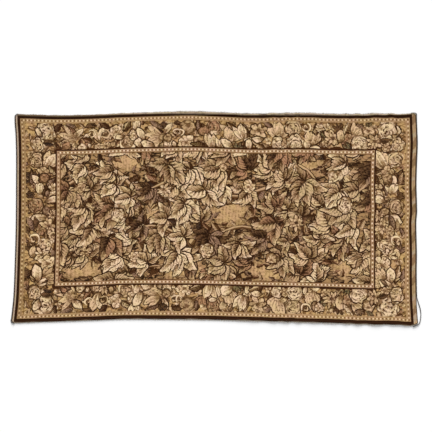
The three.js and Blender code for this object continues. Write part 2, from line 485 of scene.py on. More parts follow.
# %% The parts of a motif
def petal_outline(length, width, fullness=1.3, tip=0.75, bend=0):
    """A petal from its foot at 0, bent to one side by an angle in radians. More fullness puts the widest
    place nearer the tip, and a tip of 1 is pointed."""
    t = np.linspace(0, 1, 6 if length > 13 else 5)
    half = width / 2 * np.sin(np.pi * t**fullness) ** tip
    half[[0, -1]] = 0
    curl = np.exp(1j * bend * t)
    return np.concatenate([(length * t + 1j * half) * curl, ((length * t - 1j * half) * curl)[-2:0:-1]])


def some(value, share=0.14):
    """About this much: a hand-drawn design never repeats a petal exactly."""
    return value * chance.uniform(1 - share, 1 + share)


def petal(pen, length, width, tone, look=PETAL, fullness=1.3, tip=0.75, rim=1.5, ink=SOFT_INK):
    outline = petal_outline(some(length), some(width, 0.2), fullness, tip, chance.uniform(-0.28, 0.28))
    edged(pen, outline, TONES[tone], look, ink, rim)


def disc(pen, radius, tone, look=ROUNDED, painted_light_dyes=9, rim=1.5, ink=SOFT_INK):
    turn = np.exp(2j * np.pi * np.arange(painted_light_dyes) / painted_light_dyes)
    uneven = 1 + 0.1 * np.sin(np.arange(painted_light_dyes) * 2.4 + radius)
    edged(pen, radius * turn * uneven, TONES[tone], look, ink, rim)


def bead(pen, radius, dyes):
    """A small pale oval of the guard stripes."""
    turn = np.exp(2j * np.pi * np.arange(6) / 6)
    edged(pen, radius * turn, dyes, PLAIN, "#84623f", 0.9, True)


def stroke(pen, points, widths, tone, rim=1.5, ink=INK):
    """A band along a line, with a width at each of its points, and one half of it darker."""
    points, widths = np.asarray(points, complex), np.asarray(widths, float)
    ahead = np.gradient(points)
    off = 0.5j * ahead / np.maximum(np.abs(ahead), 1e-9)
    light, deep = TONES[tone]
    wider = off * (widths + 2 * rim)
    shape(pen, np.concatenate([points + wider, (points - wider)[::-1]]), (ink, ink))
    shape(pen, np.concatenate([points + off * widths, (points - off * widths)[::-1]]), (light, light))
    shape(pen, np.concatenate([points + off * widths, (points + 0.2 * off * widths)[::-1]]), (deep, deep))


def curve(points, count=8):
    """A smooth line through a few points."""
    points = np.asarray(points, complex)
    knots = np.arange(len(points))
    slopes = np.gradient(points)
    at = np.linspace(0, len(points) - 1, count)
    k = np.clip(at.astype(int), 0, len(points) - 2)
    t = at - knots[k]
    rise = t * t * (3 - 2 * t)
    return (points[k] * (1 - rise) + points[k + 1] * rise
            + slopes[k] * t * (1 - t) ** 2 + slopes[k + 1] * t * t * (t - 1))


def curl(pen, radius, start, sweep, width, tone):
    """A crescent round the pen's spot: the rolled rim of a petal."""
    turn = np.radians(np.linspace(start, start + sweep, 6 if sweep < 200 else 9))
    widths = width * np.sin(np.linspace(0.35, np.pi - 0.35, len(turn)))
    stroke(pen, radius * np.exp(1j * turn), widths, tone, 1.4)


# %% The blossoms
LIGHTER = {"cream": "cream", "gold": "cream", "olive": "gold", "tan": "gold", "rust": "tan", "mauve": "tan",
           "dark": "mauve", "green": "olive", "night": "dark"}
DARKER = {"cream": "gold", "gold": "tan", "olive": "tan", "tan": "rust", "mauve": "dark", "rust": "dark",
          "dark": "night", "green": "night", "night": "night"}


def sickle(pen, radius, start, sweep, width, dyes, look=PLAIN):
    """A crescent round the pen's spot that thins out to nothing at both ends."""
    turn = np.exp(1j * np.radians(np.linspace(start, start + sweep, 5)))
    half = width / 2 * np.sin(np.linspace(0, np.pi, 5))
    shape(pen, np.concatenate([(radius + half) * turn, ((radius - half) * turn)[-2:0:-1]]), dyes, look)


def rose(pen, size, tone):
    """A full rose: a lobed ball with rings of folds, each a light crescent with a dark gap inside it."""
    turn = np.linspace(0, 2 * np.pi, 22, endpoint=False)
    lobes = 0.9 + 0.1 * np.cos(7 * turn + size) + 0.05 * np.cos(3 * turn + chance.uniform(0, 6))
    edged(pen, size * lobes * np.exp(1j * turn), TONES[tone], BALL, INK, 2)
    heart = 0.15 * size * np.exp(1j * chance.uniform(0, 6.3))
    for count, reach, spread in ((6, 0.84, 0), (5, 0.58, 0.6), (3, 0.32, 1)):
        first, spot = chance.uniform(0, 360), pen.moved(spread * heart)
        for k in range(count):
            start, sweep = first + 360 * k / count + chance.uniform(-14, 14), some(310 / count, 0.25)
            radius = some(reach * size, 0.09)
            sickle(spot, radius - 0.12 * size, start + 10, sweep, some(0.15 * size, 0.4), (INK, DEEP_INK))
            sickle(spot, radius, start, sweep, some(0.2 * size, 0.3), TONES[LIGHTER[tone]], FOLDED)
    sickle(pen.moved(heart), 0.08 * size, 0, 200, 0.13 * size, (INK, DEEP_INK))


def gaps_between(pen, count, first, size):
    """Dark slits between a flower's petals."""
    for k in range(count):
        turn = first + 360 * (k + 0.5) / count + chance.uniform(-8, 8)
        spot = pen.moved(0, turn).moved(some(0.34, 0.3) * size)
        slit = petal_outline(some(0.36 * size, 0.4), some(0.12 * size, 0.4), 1.2, 0.8)
        shape(spot, slit, (INK, DEEP_INK))


def daisy(pen, size, tone, count=9, tip=0.85):
    for ring_count, reach in ((count, 1), (count - 3, 0.6)):
        for k in range(ring_count):
            turn = 360 * k / ring_count + chance.uniform(-7, 7)
            dye = tone if k % 3 else DARKER[tone]
            width = 3.1 * reach * size / ring_count
            petal(pen.moved(0, turn), reach * size, width, dye, PETAL, 1.4, tip, 1.6)
        gaps_between(pen, ring_count, 0, reach * size)
    disc(pen, 0.18 * size, "dark", ROUNDED, 7, 1)


def floret(pen, size, tone):
    """A very small flower, five round petals."""
    disc(pen, 0.9 * size, "dark", PLAIN, 6)
    for k in range(5):
        outline = petal_outline(size, 0.9 * size, 1.8, 0.6)[:-1]
        dye = tone if k % 2 else DARKER[tone]
        shape(pen.moved(0, 72 * k + chance.uniform(-12, 12)), 0.96 * outline, TONES[dye], PETAL)


def star(pen, size, tone):
    daisy(pen, size, tone, 6, 1.0)


def blossom(pen, size, tone):
    """An open flower with round, notched petals and a few small ones inside."""
    for count, reach in ((7, 1), (4, 0.55)):
        for k in range(count):
            turn = 360 * k / count + chance.uniform(-12, 12)
            dye = tone if k % 2 else DARKER[tone]
            petal(pen.moved(0, turn), reach * size, 4.4 * reach * size / count, dye, PETAL, 1.7, 0.6, 1.8)
        gaps_between(pen, count, 0, reach * size)
    disc(pen, 0.15 * size, "dark", PLAIN, 6, 0.6)


def round_flower(pen, size, tone):
    """A ball-shaped bloom, its petals folded over one another from the top down."""
    disc(pen, size, tone, ROUNDED, 11)
    for turn, reach in ((215, 0.95), (325, 0.95), (270, 0.85)):
        petal(pen.moved(0.45j * size, turn), reach * size, 0.8 * size, tone, FOLDED, 1.6, 0.6, 1.4)
    petal(pen.moved(0.5j * size, 270), 0.45 * size, 0.4 * size, "dark", PLAIN, 1.2, 0.8, 0.6)


def lily(pen, size, tone):
    """A pointed flower seen from the side, opening along the pen."""
    for turn in (50, -50, 29, -29, 0, 14):
        petal(pen.moved(0, turn), size, 0.34 * size, tone, FOLDED, 1.2, 0.95, 1.6)
    petal(pen.moved(-0.14 * size, 0), 0.34 * size, 0.26 * size, DARKER[tone], FOLDED, 0.8, 0.8, 1.4)


def tulip(pen, size, tone):
    for turn in (24, -24, 0):
        dye = tone if turn else LIGHTER[tone]
        petal(pen.moved(0, turn), size, 0.44 * size, dye, FOLDED, 1.0, 0.75, 1.6)


def dome(pen, size, tone):
    """A ribbed, domed bloom seen from the side."""
    for turn in (48, -48, 30, -30, 12, -12):
        petal(pen.moved(0, turn), size * (1 - abs(turn) / 160), 0.42 * size, tone, FOLDED, 1.5, 0.6, 1.5)
    petal(pen.moved(-0.06 * size, 0), 0.34 * size, 0.3 * size, tone, FOLDED, 1, 0.7, 1.4)


def ring(pen, size, tone):
    """A curled tendril end, round a dark eye."""
    start = chance.uniform(0, 360)
    disc(pen, 0.5 * size, "dark", ROUNDED, 7)
    curl(pen, 0.34 * size, start + 160, 190, 0.34 * size, DARKER[tone])
    curl(pen.moved(0.12 * size), 0.78 * size, start, 215, 0.5 * size, tone)


def scroll(pen, size, tone):
    """A small rose in the crook of a thick rolled petal."""
    rose(pen.moved(0.1j * size), 0.75 * size, "tan")
    curl(pen, 0.85 * size, 170, 200, 0.45 * size, tone)


def bud(pen, size, tone):
    petal(pen, size, 0.45 * size, tone, FOLDED, 0.9, 0.85)
    petal(pen.moved(-0.05 * size, 16), 0.45 * size, 0.2 * size, "tan", BLADE, 0.9, 1, 1.2)


def berries(pen, size, tone):
    for spot in (-0.5, 0.55j, 0.6, -0.5j):
        disc(pen.moved(spot * size), 0.42 * size, tone, ROUNDED, 7, 1.5)


# %% The leaves
def leaf(pen, size, tone, slim=0.46, teeth=3):
    """A bent, saw-edged leaf: one half light and one deep, either side of its rib."""
    side, width = [0], slim * size
    for k in range(teeth):
        for t, bite in (((k + 0.15) / teeth, 0.6), ((k + 0.8) / teeth, 1)):
            side.append(size * t + 0.5j * width * bite * np.sin(np.pi * (0.08 + 0.92 * t) ** 0.8) ** 0.9)
    side = np.array(side + [size], complex)
    curled = np.exp(1j * chance.uniform(-0.45, 0.45) * side.real / size)
    light, deep = TONES[tone]
    outline = np.concatenate([side * curled, (np.conj(side) * curled)[-2:0:-1]])
    shape(pen, grown(outline, 1.5), (INK, INK))
    shape(pen, outline, (light, deep), BLADE)
    shape(pen, np.conj(side) * curled, (deep, INK), BLADE)


def blade(pen, size, tone):
    """A long plain leaf with a darker half."""
    petal(pen, size, 0.3 * size, tone, BLADE, 0.9, 0.95, 1.6)


def single(pen, size, tone):
    """One broad petal or leaf on its own."""
    petal(pen, size, 0.58 * size, tone, PETAL, 1.2, 0.7)


def spray(pen, size, tone):
    """A tuft of narrow leaves that fan out from one foot."""
    for turn in (62, -62, 38, -38, 14, -14):
        petal(pen.moved(0, turn), size * (1 - abs(turn) / 200), 0.2 * size, tone, BLADE, 0.9, 1, 0.8)


MOTIFS = {
    "rose": rose, "daisy": daisy, "star": star, "blossom": blossom, "round": round_flower,
    "lily": lily, "tulip": tulip, "dome": dome, "ring": ring, "scroll": scroll, "bud": bud,
    "berries": berries, "leaf": leaf, "blade": blade, "single": single, "spray": spray,
}

# %% [markdown]
# ## The frame of bands
# The design is a set of frames, one inside the other: a plain strip at each end and a rolled selvedge
# along each side, a near-black band, a beaded guard stripe, the flower border, a dark line, a second guard
# stripe, a thin line, and the field. Each is a rectangle that covers all that is inside it. A shape shows
# only in its own zone, so a flower can't run over the line beside it.

# %% The bands
# Columns: how far in from the left end, the right end and the long sides, and the two dyes
BANDS = {
    "selvedge": (0, 0, 0, "#5d4c38", "#33241a"),
    # The seam is the sewn edge beside each end's cord. Its dark dyes are partly the seam's own and partly
    # painted shade, where the cord shades the strip
    "seam_and_cord_shade": (0, 0, 5, "#4a3626", "#33241a"),
    "strip": (3, 4, 5, "#a98c68", "#846a4c"),
    "dark_band": (9, 19, 5, "#2a1506", "#1a0b03"),
    "guard": (22, 31, 19, "#a8865f", "#664828"),
    "border": (43, 52, 38.5, "#b89464", "#75542f"),
    "dark_line": (183, 192, 164, "#341907", "#221003"),
    "inner_guard": (190, 199, 171, "#ab8966", "#6a4b2d"),
    "thin_line": (205, 213, 187, "#5b3a1b", "#45290f"),
    "field": (209, 217, 190, "#a07c55", "#321f10"),
}
ZONES = {name: k for k, name in enumerate(BANDS)}


def band_corners(name):
    left, right, side = BANDS[name][:3]
    return left, CLOTH_LENGTH - right, side, CLOTH_WIDTH - side


def rectangle(left, right, low, high):
    return np.array([left + 1j * low, right + 1j * low, right + 1j * high, left + 1j * high])


BAND_LOOKS = {"border": LEAFY, "field": LEAFY, "guard": MIXED, "inner_guard": MIXED, "strip": MIXED}
for name, (*_, light, deep) in BANDS.items():
    look = BAND_LOOKS.get(name, PLAIN)
    shape(Pen(0, 0, zone=ZONES[name]), rectangle(*band_corners(name)), (light, deep), look, True)
# Along the upper side the pale back of the cloth rolls into view, more and more from the left
ROLLED = CLOTH_WIDTH - 7.4
PALE_WEDGE = np.array([
    300 + 1j * CLOTH_WIDTH, 700 + 1j * ROLLED, 1680 + 1j * ROLLED, 1800 + 1j * (CLOTH_WIDTH - 3.5),
    CLOTH_LENGTH + 1j * (CLOTH_WIDTH - 2), CLOTH_LENGTH + 1j * CLOTH_WIDTH])
# Along the lower side the band is dark out to the edge, but for a thin faded line that comes and goes
faded_along = np.arange(0, CLOTH_LENGTH + 20, 20)
faded_width = np.clip(2.0 + 1.6 * np.sin(faded_along / 41) + 1.1 * np.sin(faded_along / 13), 0.3, 4.8)
FADED_LINE = np.r_[faded_along + 0j, (faded_along + 1j * faded_width)[::-1]]
for name, outline, dyes in (
    ("dark_band", rectangle(0, 700, CLOTH_WIDTH - 7, CLOTH_WIDTH), ("#66543f", "#4a3a2a")),
    ("selvedge", PALE_WEDGE, ("#97866f", "#41342a")),
    ("dark_band", PALE_WEDGE, ("#806f5c", "#2d2118")),
    ("selvedge", rectangle(0, CLOTH_LENGTH, 0, 5.2), ("#301e11", "#1c1008")),
    ("selvedge", FADED_LINE, ("#8d7c66", "#4a3a2b")),
    ("strip", rectangle(0, 20, 0, CLOTH_WIDTH), ("#b19c85", "#7b6652")),
    ("guard", rectangle(0, 50, 0, CLOTH_WIDTH), ("#9b7b54", "#573c22")),
    ("strip", rectangle(CLOTH_LENGTH - 13, CLOTH_LENGTH - 9.5, 0, CLOTH_WIDTH), ("#98795a", "#735a40")),
):
    shape(Pen(0, 0, zone=ZONES[name]), outline, dyes, MIXED, True)
# The strip at the right end is worn: greyer and browner patches lie aslant on it
WORN_PATCHES = 18
strip_outer, strip_inner = BANDS["strip"][1], BANDS["dark_band"][1]
for k in range(WORN_PATCHES):
    middle = CLOTH_WIDTH * (k + 0.5 + 0.35 * np.sin(5 * k)) / WORN_PATCHES
    reach = 18 + 9 * np.sin(3 * k)
    slanted = np.array([
        -strip_inner - 1j * reach, -strip_outer - 0.4j * reach,
        -strip_outer + 1.4j * reach, -strip_inner + 0.5j * reach])
    dyes = (("#a99377", "#7c674e"), ("#86694a", "#5a452f"))[k % 2]
    shape(Pen(CLOTH_LENGTH, middle, zone=ZONES["strip"]), slanted, dyes, MIXED, True)

# %% [markdown]
# The guard stripes are rows of beads all the way round: pale ovals, with a small dark speck between one
# and the next. The beads stand a little closer along the sides than along the ends.

# %% The beads
SIDE_PITCH, END_PITCH, BEAD_RADIUS = 17.7, 20.4, 4.1  # millimetres


def bead_row(zone, start, end, pitch, radius, dyes, speck):
    """Beads from start to end, evenly spaced, with small dark specks between."""
    run = end - start
    count = max(round(abs(run) / pitch), 1)
    step, turn = run / count, np.degrees(np.angle(run))
    for k in range(count):
        spot = start + step * (k + 0.5)
        pen = Pen(spot.real, spot.imag, turn, zone=zone)
        bead(pen, radius, dyes)
        between = pen.moved(step * np.exp(-1j * np.radians(turn)) / 2)
        shape(between, rectangle(-1.8, 1.8, -1.1 * radius, 1.1 * radius), speck, PLAIN, True)


# Columns: the stripe, the band inside it, how far towards that the row lies, the beads' dyes, those of the
# left end's beads, which are dimmer, and the specks' dyes
for name, inside, part_in, pale, dim, speck in (
    ("guard", "border", 0.41, ("#dabc96", "#ac8b64"), ("#c6a980", "#a18158"), ("#5f3f22", "#462c14")),
    ("inner_guard", "thin_line", 0.5,
     ("#e4caaa", "#b89876"), ("#ceb08a", "#a98962"), ("#6b4829", "#4f331a")),
):
    outer_edge, inner_edge = np.array(band_corners(name)), np.array(band_corners(inside))
    left, right, low, high = (1 - part_in) * outer_edge + part_in * inner_edge
    for start, end, pitch, dyes in (
        (left + 1j * low, right + 1j * low, SIDE_PITCH, pale),
        (left + 1j * high, right + 1j * high, SIDE_PITCH, pale),
        (left + 1j * low, left + 1j * high, END_PITCH, dim),
        (right + 1j * low, right + 1j * high, END_PITCH, pale),
    ):
        bead_row(ZONES[name], start, end, pitch, BEAD_RADIUS, dyes, speck)
print("shapes in the bands and beads:", len(shapes))

# %% [markdown]
# ## The flower border
# The border is a dense run of garden flowers. It was charted one row for each flower or leaf, in
# squares of 4.75 mm: how far along the upper long side, how far in from it, how large, and which way it
# grows. The lower side is the upper one's mirror image, and the right end is the left end's.

# %% The border's chart
SQUARE = 4.75
# Columns: motif, squares along, squares in, size in squares, direction in degrees, tone
SIDE_CHART = [
    ("spray", 27, 12, 6, 95, "dark"), ("rose", 29.5, 17, 9.5, 110, "cream"),
    ("single", 25, 22, 9, 120, "cream"), ("rose", 20.5, 30, 6, 0, "gold"),
    ("single", 28, 35, 9, 85, "cream"), ("blade", 38, 27, 10, 178, "dark"),
    ("blade", 38, 30, 10, 182, "night"), ("blade", 60, 13, 12, 158, "mauve"),
    ("blade", 60, 17, 12, 160, "rust"), ("lily", 59.5, 24.5, 14, 188, "gold"),
    ("bud", 58.5, 22, 11, 52, "cream"), ("single", 66, 24, 8, 35, "cream"),
    ("spray", 50, 36, 8, 100, "mauve"), ("single", 44, 34, 8, 20, "rust"), ("leaf", 41, 16, 9, 80, "dark"),
    ("blade", 81, 11, 9, 170, "dark"), ("tulip", 84, 28, 15, 92, "gold"), ("single", 66, 33, 7, 190, "tan"),
    ("round", 65, 33, 3.6, 0, "cream"), ("single", 72, 34, 5, 80, "cream"),
    ("round", 81.5, 33, 3.6, 0, "gold"), ("leaf", 75, 27, 8, 150, "rust"), ("leaf", 92, 14, 9, 140, "dark"),
    ("blossom", 99.5, 18.4, 6, 0, "cream"), ("daisy", 89.5, 32, 5.2, 0, "gold"),
    ("leaf", 100, 30, 8, 230, "rust"), ("single", 97, 27, 6, 250, "tan"),
    ("single", 106, 24, 6, 170, "cream"), ("scroll", 111, 29, 7.2, 0, "cream"),
    ("leaf", 107, 18, 11, 48, "olive"), ("blossom", 117.5, 22.5, 4.8, 0, "cream"),
    ("tulip", 119.5, 17, 9, 88, "cream"), ("single", 126, 29, 13, 100, "cream"),
    ("single", 123, 35, 9, 112, "cream"), ("blade", 147, 17, 13, 150, "mauve"),
    ("blade", 147, 20, 14, 158, "dark"), ("lily", 146, 25, 15, 186, "gold"),
    ("bud", 147, 21, 10, 50, "cream"), ("single", 137, 34, 11, 172, "cream"),
    ("single", 141, 34, 8, 10, "olive"), ("round", 151.5, 31.5, 4.2, 0, "cream"),
    ("single", 157, 35, 5, 80, "cream"), ("berries", 148, 12, 3, 0, "night"),
    ("round", 151, 26, 3.5, 0, "tan"), ("leaf", 158, 12, 8, 20, "dark"),
    ("round", 171.5, 15.5, 6, 0, "tan"), ("blossom", 169, 31, 7.2, 0, "cream"),
    ("leaf", 183, 19, 9, 105, "mauve"), ("dome", 188, 24, 9, 88, "rust"),
    ("leaf", 188, 36, 13, 140, "olive"), ("rose", 197.5, 15, 6.4, 0, "rust"),
    ("single", 203, 21, 8, 180, "cream"), ("tulip", 195, 36, 12, 100, "gold"),
    ("tulip", 203, 35, 9, 80, "cream"), ("single", 210, 20, 10, 112, "olive"),
    ("dome", 213.5, 29, 13, 90, "gold"), ("leaf", 217.5, 17, 9, 125, "rust"),
    ("leaf", 222, 12, 7, 10, "dark"), ("blade", 230, 26, 14, 96, "mauve"),
    ("tulip", 227, 25.5, 13, 112, "cream"), ("spray", 220.5, 36, 7, 70, "green"),
    ("single", 216.5, 35, 12, 152, "cream"), ("star", 241.5, 16.8, 7.6, 10, "gold"),
    ("blossom", 231.5, 28, 4.2, 0, "cream"), ("single", 231, 36, 8, 80, "cream"),
    ("leaf", 246.5, 35, 12, 152, "gold"), ("single", 246, 26, 9, 182, "cream"),
    ("dome", 261.5, 25, 15.5, 92, "tan"), ("blade", 255.5, 14, 10, 140, "dark"),
    ("rose", 261, 30.5, 6.2, 0, "cream"), ("blossom", 268, 30, 4, 0, "tan"),
    ("rose", 276.5, 15.6, 7.4, 20, "olive"), ("rose", 278, 29.6, 7.4, 40, "cream"),
    ("single", 290.5, 36, 8.5, 100, "cream"), ("dome", 295.5, 30, 13, 90, "gold"),
    ("single", 292, 35, 10, 5, "cream"), ("leaf", 299, 21, 9, 100, "mauve"),
    ("blossom", 303, 14.5, 4, 0, "cream"), ("berries", 307.5, 20.5, 3.6, 0, "green"),
    ("blossom", 309, 29, 4.2, 0, "tan"), ("daisy", 315, 24, 7.4, 0, "gold"),
    ("spray", 322, 17, 9, 95, "night"), ("single", 324, 28, 12, 98, "tan"),
    ("leaf", 326.5, 21, 14, 50, "cream"), ("blossom", 331.5, 24, 5, 0, "mauve"),
    ("spray", 333, 35, 8, 170, "green"), ("lily", 335.5, 22, 12, 28, "tan"),
    ("round", 351.5, 18.3, 5, 0, "tan"), ("spray", 342, 14, 6, 80, "dark"),
    ("spray", 352, 13, 6, 95, "green"), ("rose", 342, 29.5, 7.6, 60, "cream"),
    ("daisy", 357, 27.5, 6.8, 0, "gold"), ("rose", 371, 17.3, 9.5, 30, "cream"),
    ("single", 376, 20, 8, 300, "cream"), ("rose", 380, 30.5, 6.2, 0, "gold"),
    ("blossom", 368.5, 33, 4, 0, "gold"), ("blade", 362, 27, 8, 0, "night"),
    ("ring", 74, 19.5, 4, 0, "cream"), ("ring", 88.5, 20, 4, 0, "olive"),
    ("ring", 159, 20.3, 3.4, 0, "cream"), ("ring", 164, 20.3, 3.4, 180, "cream"),
    ("ring", 289, 14, 4.4, 90, "cream"),
]
# The same for the left end, with squares down from the upper long side in the second column
END_CHART = [
    ("single", 38, 28, 8, 135, "cream"), ("blade", 43, 30, 11, 148, "dark"),
    ("rose", 45.5, 20, 6.6, 0, "tan"), ("tulip", 53, 28.5, 16, 58, "gold"),
    ("leaf", 60, 40, 10, 150, "olive"), ("blossom", 57, 26.5, 5, 0, "gold"),
    ("spray", 67, 17, 12, 112, "night"), ("blade", 71, 15, 12, 100, "mauve"),
    ("single", 72, 23, 11, 112, "cream"), ("round", 64, 27.5, 4.2, 0, "rust"),
    ("leaf", 74, 32, 11, 80, "mauve"), ("tulip", 80, 23.5, 9, 95, "cream"), ("leaf", 81, 28, 8, 88, "dark"),
    ("blossom", 73, 36, 3.6, 0, "cream"), ("blossom", 81, 36, 5.2, 0, "cream"),
    ("spray", 80.5, 17, 6.5, 180, "night"), ("single", 82, 30.5, 5, 95, "mauve"),
    ("single", 87, 29, 11, 14, "cream"), ("rose", 91.5, 19, 6.6, 0, "rust"),
    ("single", 96, 24.5, 5, 0, "cream"), ("round", 97, 30, 3.4, 0, "mauve"),
    ("daisy", 100.5, 36, 4.8, 0, "gold"), ("single", 103.5, 31, 15, 182, "cream"),
    ("blade", 117, 17.5, 13, 104, "mauve"), ("blade", 116, 20, 12, 84, "dark"),
    ("daisy", 111.5, 32, 7.4, 0, "gold"), ("bud", 119, 11.5, 6, 92, "dark"),
    ("blossom", 116, 24, 4.6, 0, "tan"), ("spray", 137, 15, 9, 90, "dark"),
    ("rose", 132, 28.5, 7.4, 0, "gold"), ("single", 144, 17, 10, 95, "gold"),
    ("daisy", 140.5, 26, 6.4, 0, "cream"), ("single", 143, 37, 7, 90, "mauve"),
    ("blossom", 150, 32, 8, 0, "cream"), ("blade", 166, 13, 13, 96, "dark"),
    ("leaf", 167, 19, 15, 97, "tan"), ("single", 168, 23, 14, 88, "cream"),
    ("lily", 165, 28.5, 12, 14, "tan"), ("bud", 172, 10.5, 6, 85, "rust"),
    ("single", 171, 21, 12, 10, "cream"), ("blade", 170, 26, 8, 30, "dark"),
    ("ring", 125, 17.5, 4.6, 0, "cream"), ("ring", 122, 36.5, 3.8, 0, "olive"),
]


RIGHT_END_IN = 1.7  # squares by which the right end's border lies further in than the left end's
FULLNESS = 1.18  # motifs are drawn this much larger than charted, so that they overlap


def border_pens(along, inward, turn, end):
    """A chart row's pens: one on each of the two sides, or ends, that mirror each other."""
    zone = ZONES["border"]
    if end:
        across = CLOTH_WIDTH - along * SQUARE
        mirrored = CLOTH_LENGTH - (inward + RIGHT_END_IN) * SQUARE
        yield Pen(inward * SQUARE, across, turn, flip=False, zone=zone)
        yield Pen(mirrored, across, 180 - turn, flip=True, zone=zone)
    else:
        yield Pen(along * SQUARE, CLOTH_WIDTH - inward * SQUARE, turn, flip=False, zone=zone)
        yield Pen(along * SQUARE, inward * SQUARE, -turn, flip=True, zone=zone)


def draw_chart(chart, end):
    """Draws a chart, a shade lighter where it lies in the right half, as the cloth's own dyes are."""
    for motif, along, inward, size, turn, tone in chart:
        for pen in border_pens(along, inward, turn, end):
            lighter = pen.spot.real > CLOTH_LENGTH / 2 and tone in ("rust", "mauve", "dark", "night", "tan")
            set_off(pen, MOTIFS[motif], size * SQUARE * FULLNESS, LIGHTER[tone] if lighter else tone)


# %% [markdown]
# Behind the flowers the weaver filled every gap with small leaves, darker towards the inner line. The
# ground of the border is such a mass of leaves, drawn by the material, and a second, darker one with a wavy
# outline lies over its inner part. Larger leaves and small flowers are strewn over both, with seeded
# chance, so that they come out alike every time.

# %% The ground behind the flowers
def strewn(left, right, low, high, step):
    """Spots on a loose grid over a rectangle."""
    for along in np.arange(left + step / 2, right, step):
        for across in np.arange(low + step / 2, high, step):
            yield along + chance.uniform(-0.4, 0.4) * step, across + chance.uniform(-0.4, 0.4) * step


def inner_distance(along, across):
    """How far a spot in the border lies from the inner dark line, in millimetres."""
    left, right, low, high = band_corners("dark_line")
    return max(left - along, along - right, low - across, across - high)


def wavy_frame(reach, waver, step=35):
    """An uneven outline round the inner dark line, at about a distance from it in millimetres."""
    left, right, low, high = band_corners("dark_line")
    around = [left - reach + 1j * y for y in np.arange(high, low, -step)]
    around += [x + 1j * (low - reach) for x in np.arange(left, right, step)]
    around += [right + reach + 1j * y for y in np.arange(low, high, step)]
    around += [x + 1j * (high + reach) for x in np.arange(right, left, -step)]
    off = chance.uniform(-waver, waver, len(around))
    way = np.exp(1j * chance.uniform(0, 6, len(around)))
    return np.array(around) + off * way


BORDER = Pen(0, 0, zone=ZONES["border"])
FLORET_SHARE = (0.25, 0.6)  # how many of the strewn ones are small flowers, in the left and the right half
STREWN_STEP, INNER_PART, END_PART = 30, 60, 192  # mm between them, and how far those parts reach
shape(BORDER, wavy_frame(62, 26), ("#b38d5f", "#553820"), LEAFY)
left, right, low, high = band_corners("border")
for along, across in strewn(left, right, low, high, STREWN_STEP):
    gap = inner_distance(along, across)
    if gap < 0:
        continue
    on_end = not END_PART < along < CLOTH_LENGTH - END_PART
    inner_tones = ["tan", "gold", "olive", "tan", "dark" if on_end else "rust"]
    outer_tones = ["tan", "mauve" if on_end else "gold", "gold", "olive"]
    tone = chance.choice(inner_tones if gap < INNER_PART else outer_tones)
    pen = Pen(along, across, chance.uniform(0, 360), zone=ZONES["border"])
    if chance.uniform() < FLORET_SHARE[0 if along < CLOTH_LENGTH / 2 else 1]:
        floret(pen, chance.uniform(13, 19), LIGHTER[str(tone)])
    else:
        leaf(pen, chance.uniform(26, 44), str(tone))
shape(BORDER, wavy_frame(5, 5, 22), (INK, DEEP_INK))
draw_chart(END_CHART, True)
draw_chart(SIDE_CHART, False)
print("shapes with the border:", len(shapes))

# %% [markdown]
# ## The field
# The middle of the cloth is a verdure: leaves that fill the whole field, over stems that rise from the
# picture's foot, on the right, to its top. This one is a design of its own, of the usual kind: bunches of
# lobed leaves on a loose grid, with a few flowers, on a dark leafy ground with paler clearings.

# %% The field's leaves
LOBE = (-0.15, 0, 0.6, 0.6, 0.5, 0, 1.1, 0)


def frond(pen, size, tone):
    """A bent, feathered leaf: pairs of pointed lobes up its rib, light on one side, and one at its tip."""
    bend, pairs = chance.uniform(-0.6, 0.6), 5
    for k in range(pairs):
        at = (0.05 + 0.62 * k / pairs) * size
        spot, lean = at * np.exp(1j * bend * at / size), np.degrees(bend * at / size)
        reach = (0.55 - 0.22 * k / pairs) * size
        for side, dye in ((-1, DARKER[tone]), (1, tone)):
            outline = petal_outline(some(reach, 0.2), some(0.27 * reach, 0.2), 1.0, 0.95, -0.5 * side)
            shape(pen.moved(spot, side * (58 - 26 * k / pairs) + lean), outline, TONES[dye], LOBE)
    spot, lean = 0.52 * size * np.exp(0.5j * bend), np.degrees(0.5 * bend)
    tip_lobe = petal_outline(0.5 * size, 0.2 * size, 1, 0.9, bend)
    shape(pen.moved(spot, lean), tip_lobe, TONES[LIGHTER[tone]], LOBE)


def bunch(pen, size, tone, leaves, spread):
    """Lobed leaves that fan out from one point, the outer ones first."""
    turns = spread * ((np.arange(leaves) + 0.5) / leaves - 0.5)
    for turn in sorted(turns, key=abs, reverse=True):
        reach = some(size * (1 - 0.25 * abs(turn) / 180), 0.12)
        set_off(pen.moved(0, turn + chance.uniform(-8, 8)), frond, reach, tone, 4.5, 0.45)


# %% The field's layout
left, right, low, high = band_corners("field")
FIELD = ZONES["field"]
LEAF_STEP, BUNCH_ROWS, BUNCH_STEP, ROW_SHIFT = 50, 88, 126, 70  # mm between leaves, rows and bunches
CLEARING = (0.05, 0.3, 0, 0.1, 0.25, 7, 0, 0.3)  # a clearing's look
CLEARINGS = [  # along, across, reach along and across, in millimetres
    (330, 245, 125, 48), (520, 750, 95, 42), (790, 235, 130, 52), (1010, 520, 105, 62),
    (1200, 240, 110, 55), (1370, 740, 115, 48), (660, 500, 60, 62), (1570, 265, 95, 60),
    (960, 770, 80, 30),
]
STEMS = [  # points from the picture's foot to its top, along and across
    [(1690, 330), (1500, 420), (1290, 360), (1080, 450), (860, 380), (640, 450), (400, 380), (200, 430)],
    [(1690, 620), (1480, 560), (1260, 650), (1020, 590), (800, 680), (560, 610), (330, 680), (200, 640)],
    [(1460, 430), (1380, 300), (1220, 230)], [(1240, 640), (1100, 740), (950, 770)],
    [(850, 390), (740, 280), (600, 240)], [(560, 610), (470, 720), (360, 760)],
    [(1480, 560), (1400, 700), (1300, 760)],
]
for along, across in strewn(left, right, low, high, LEAF_STEP):
    tone = chance.choice(["dark", "mauve", "rust", "tan", "night", "gold"])
    leaf(Pen(along, across, chance.uniform(90, 270), zone=FIELD), chance.uniform(48, 82), str(tone))
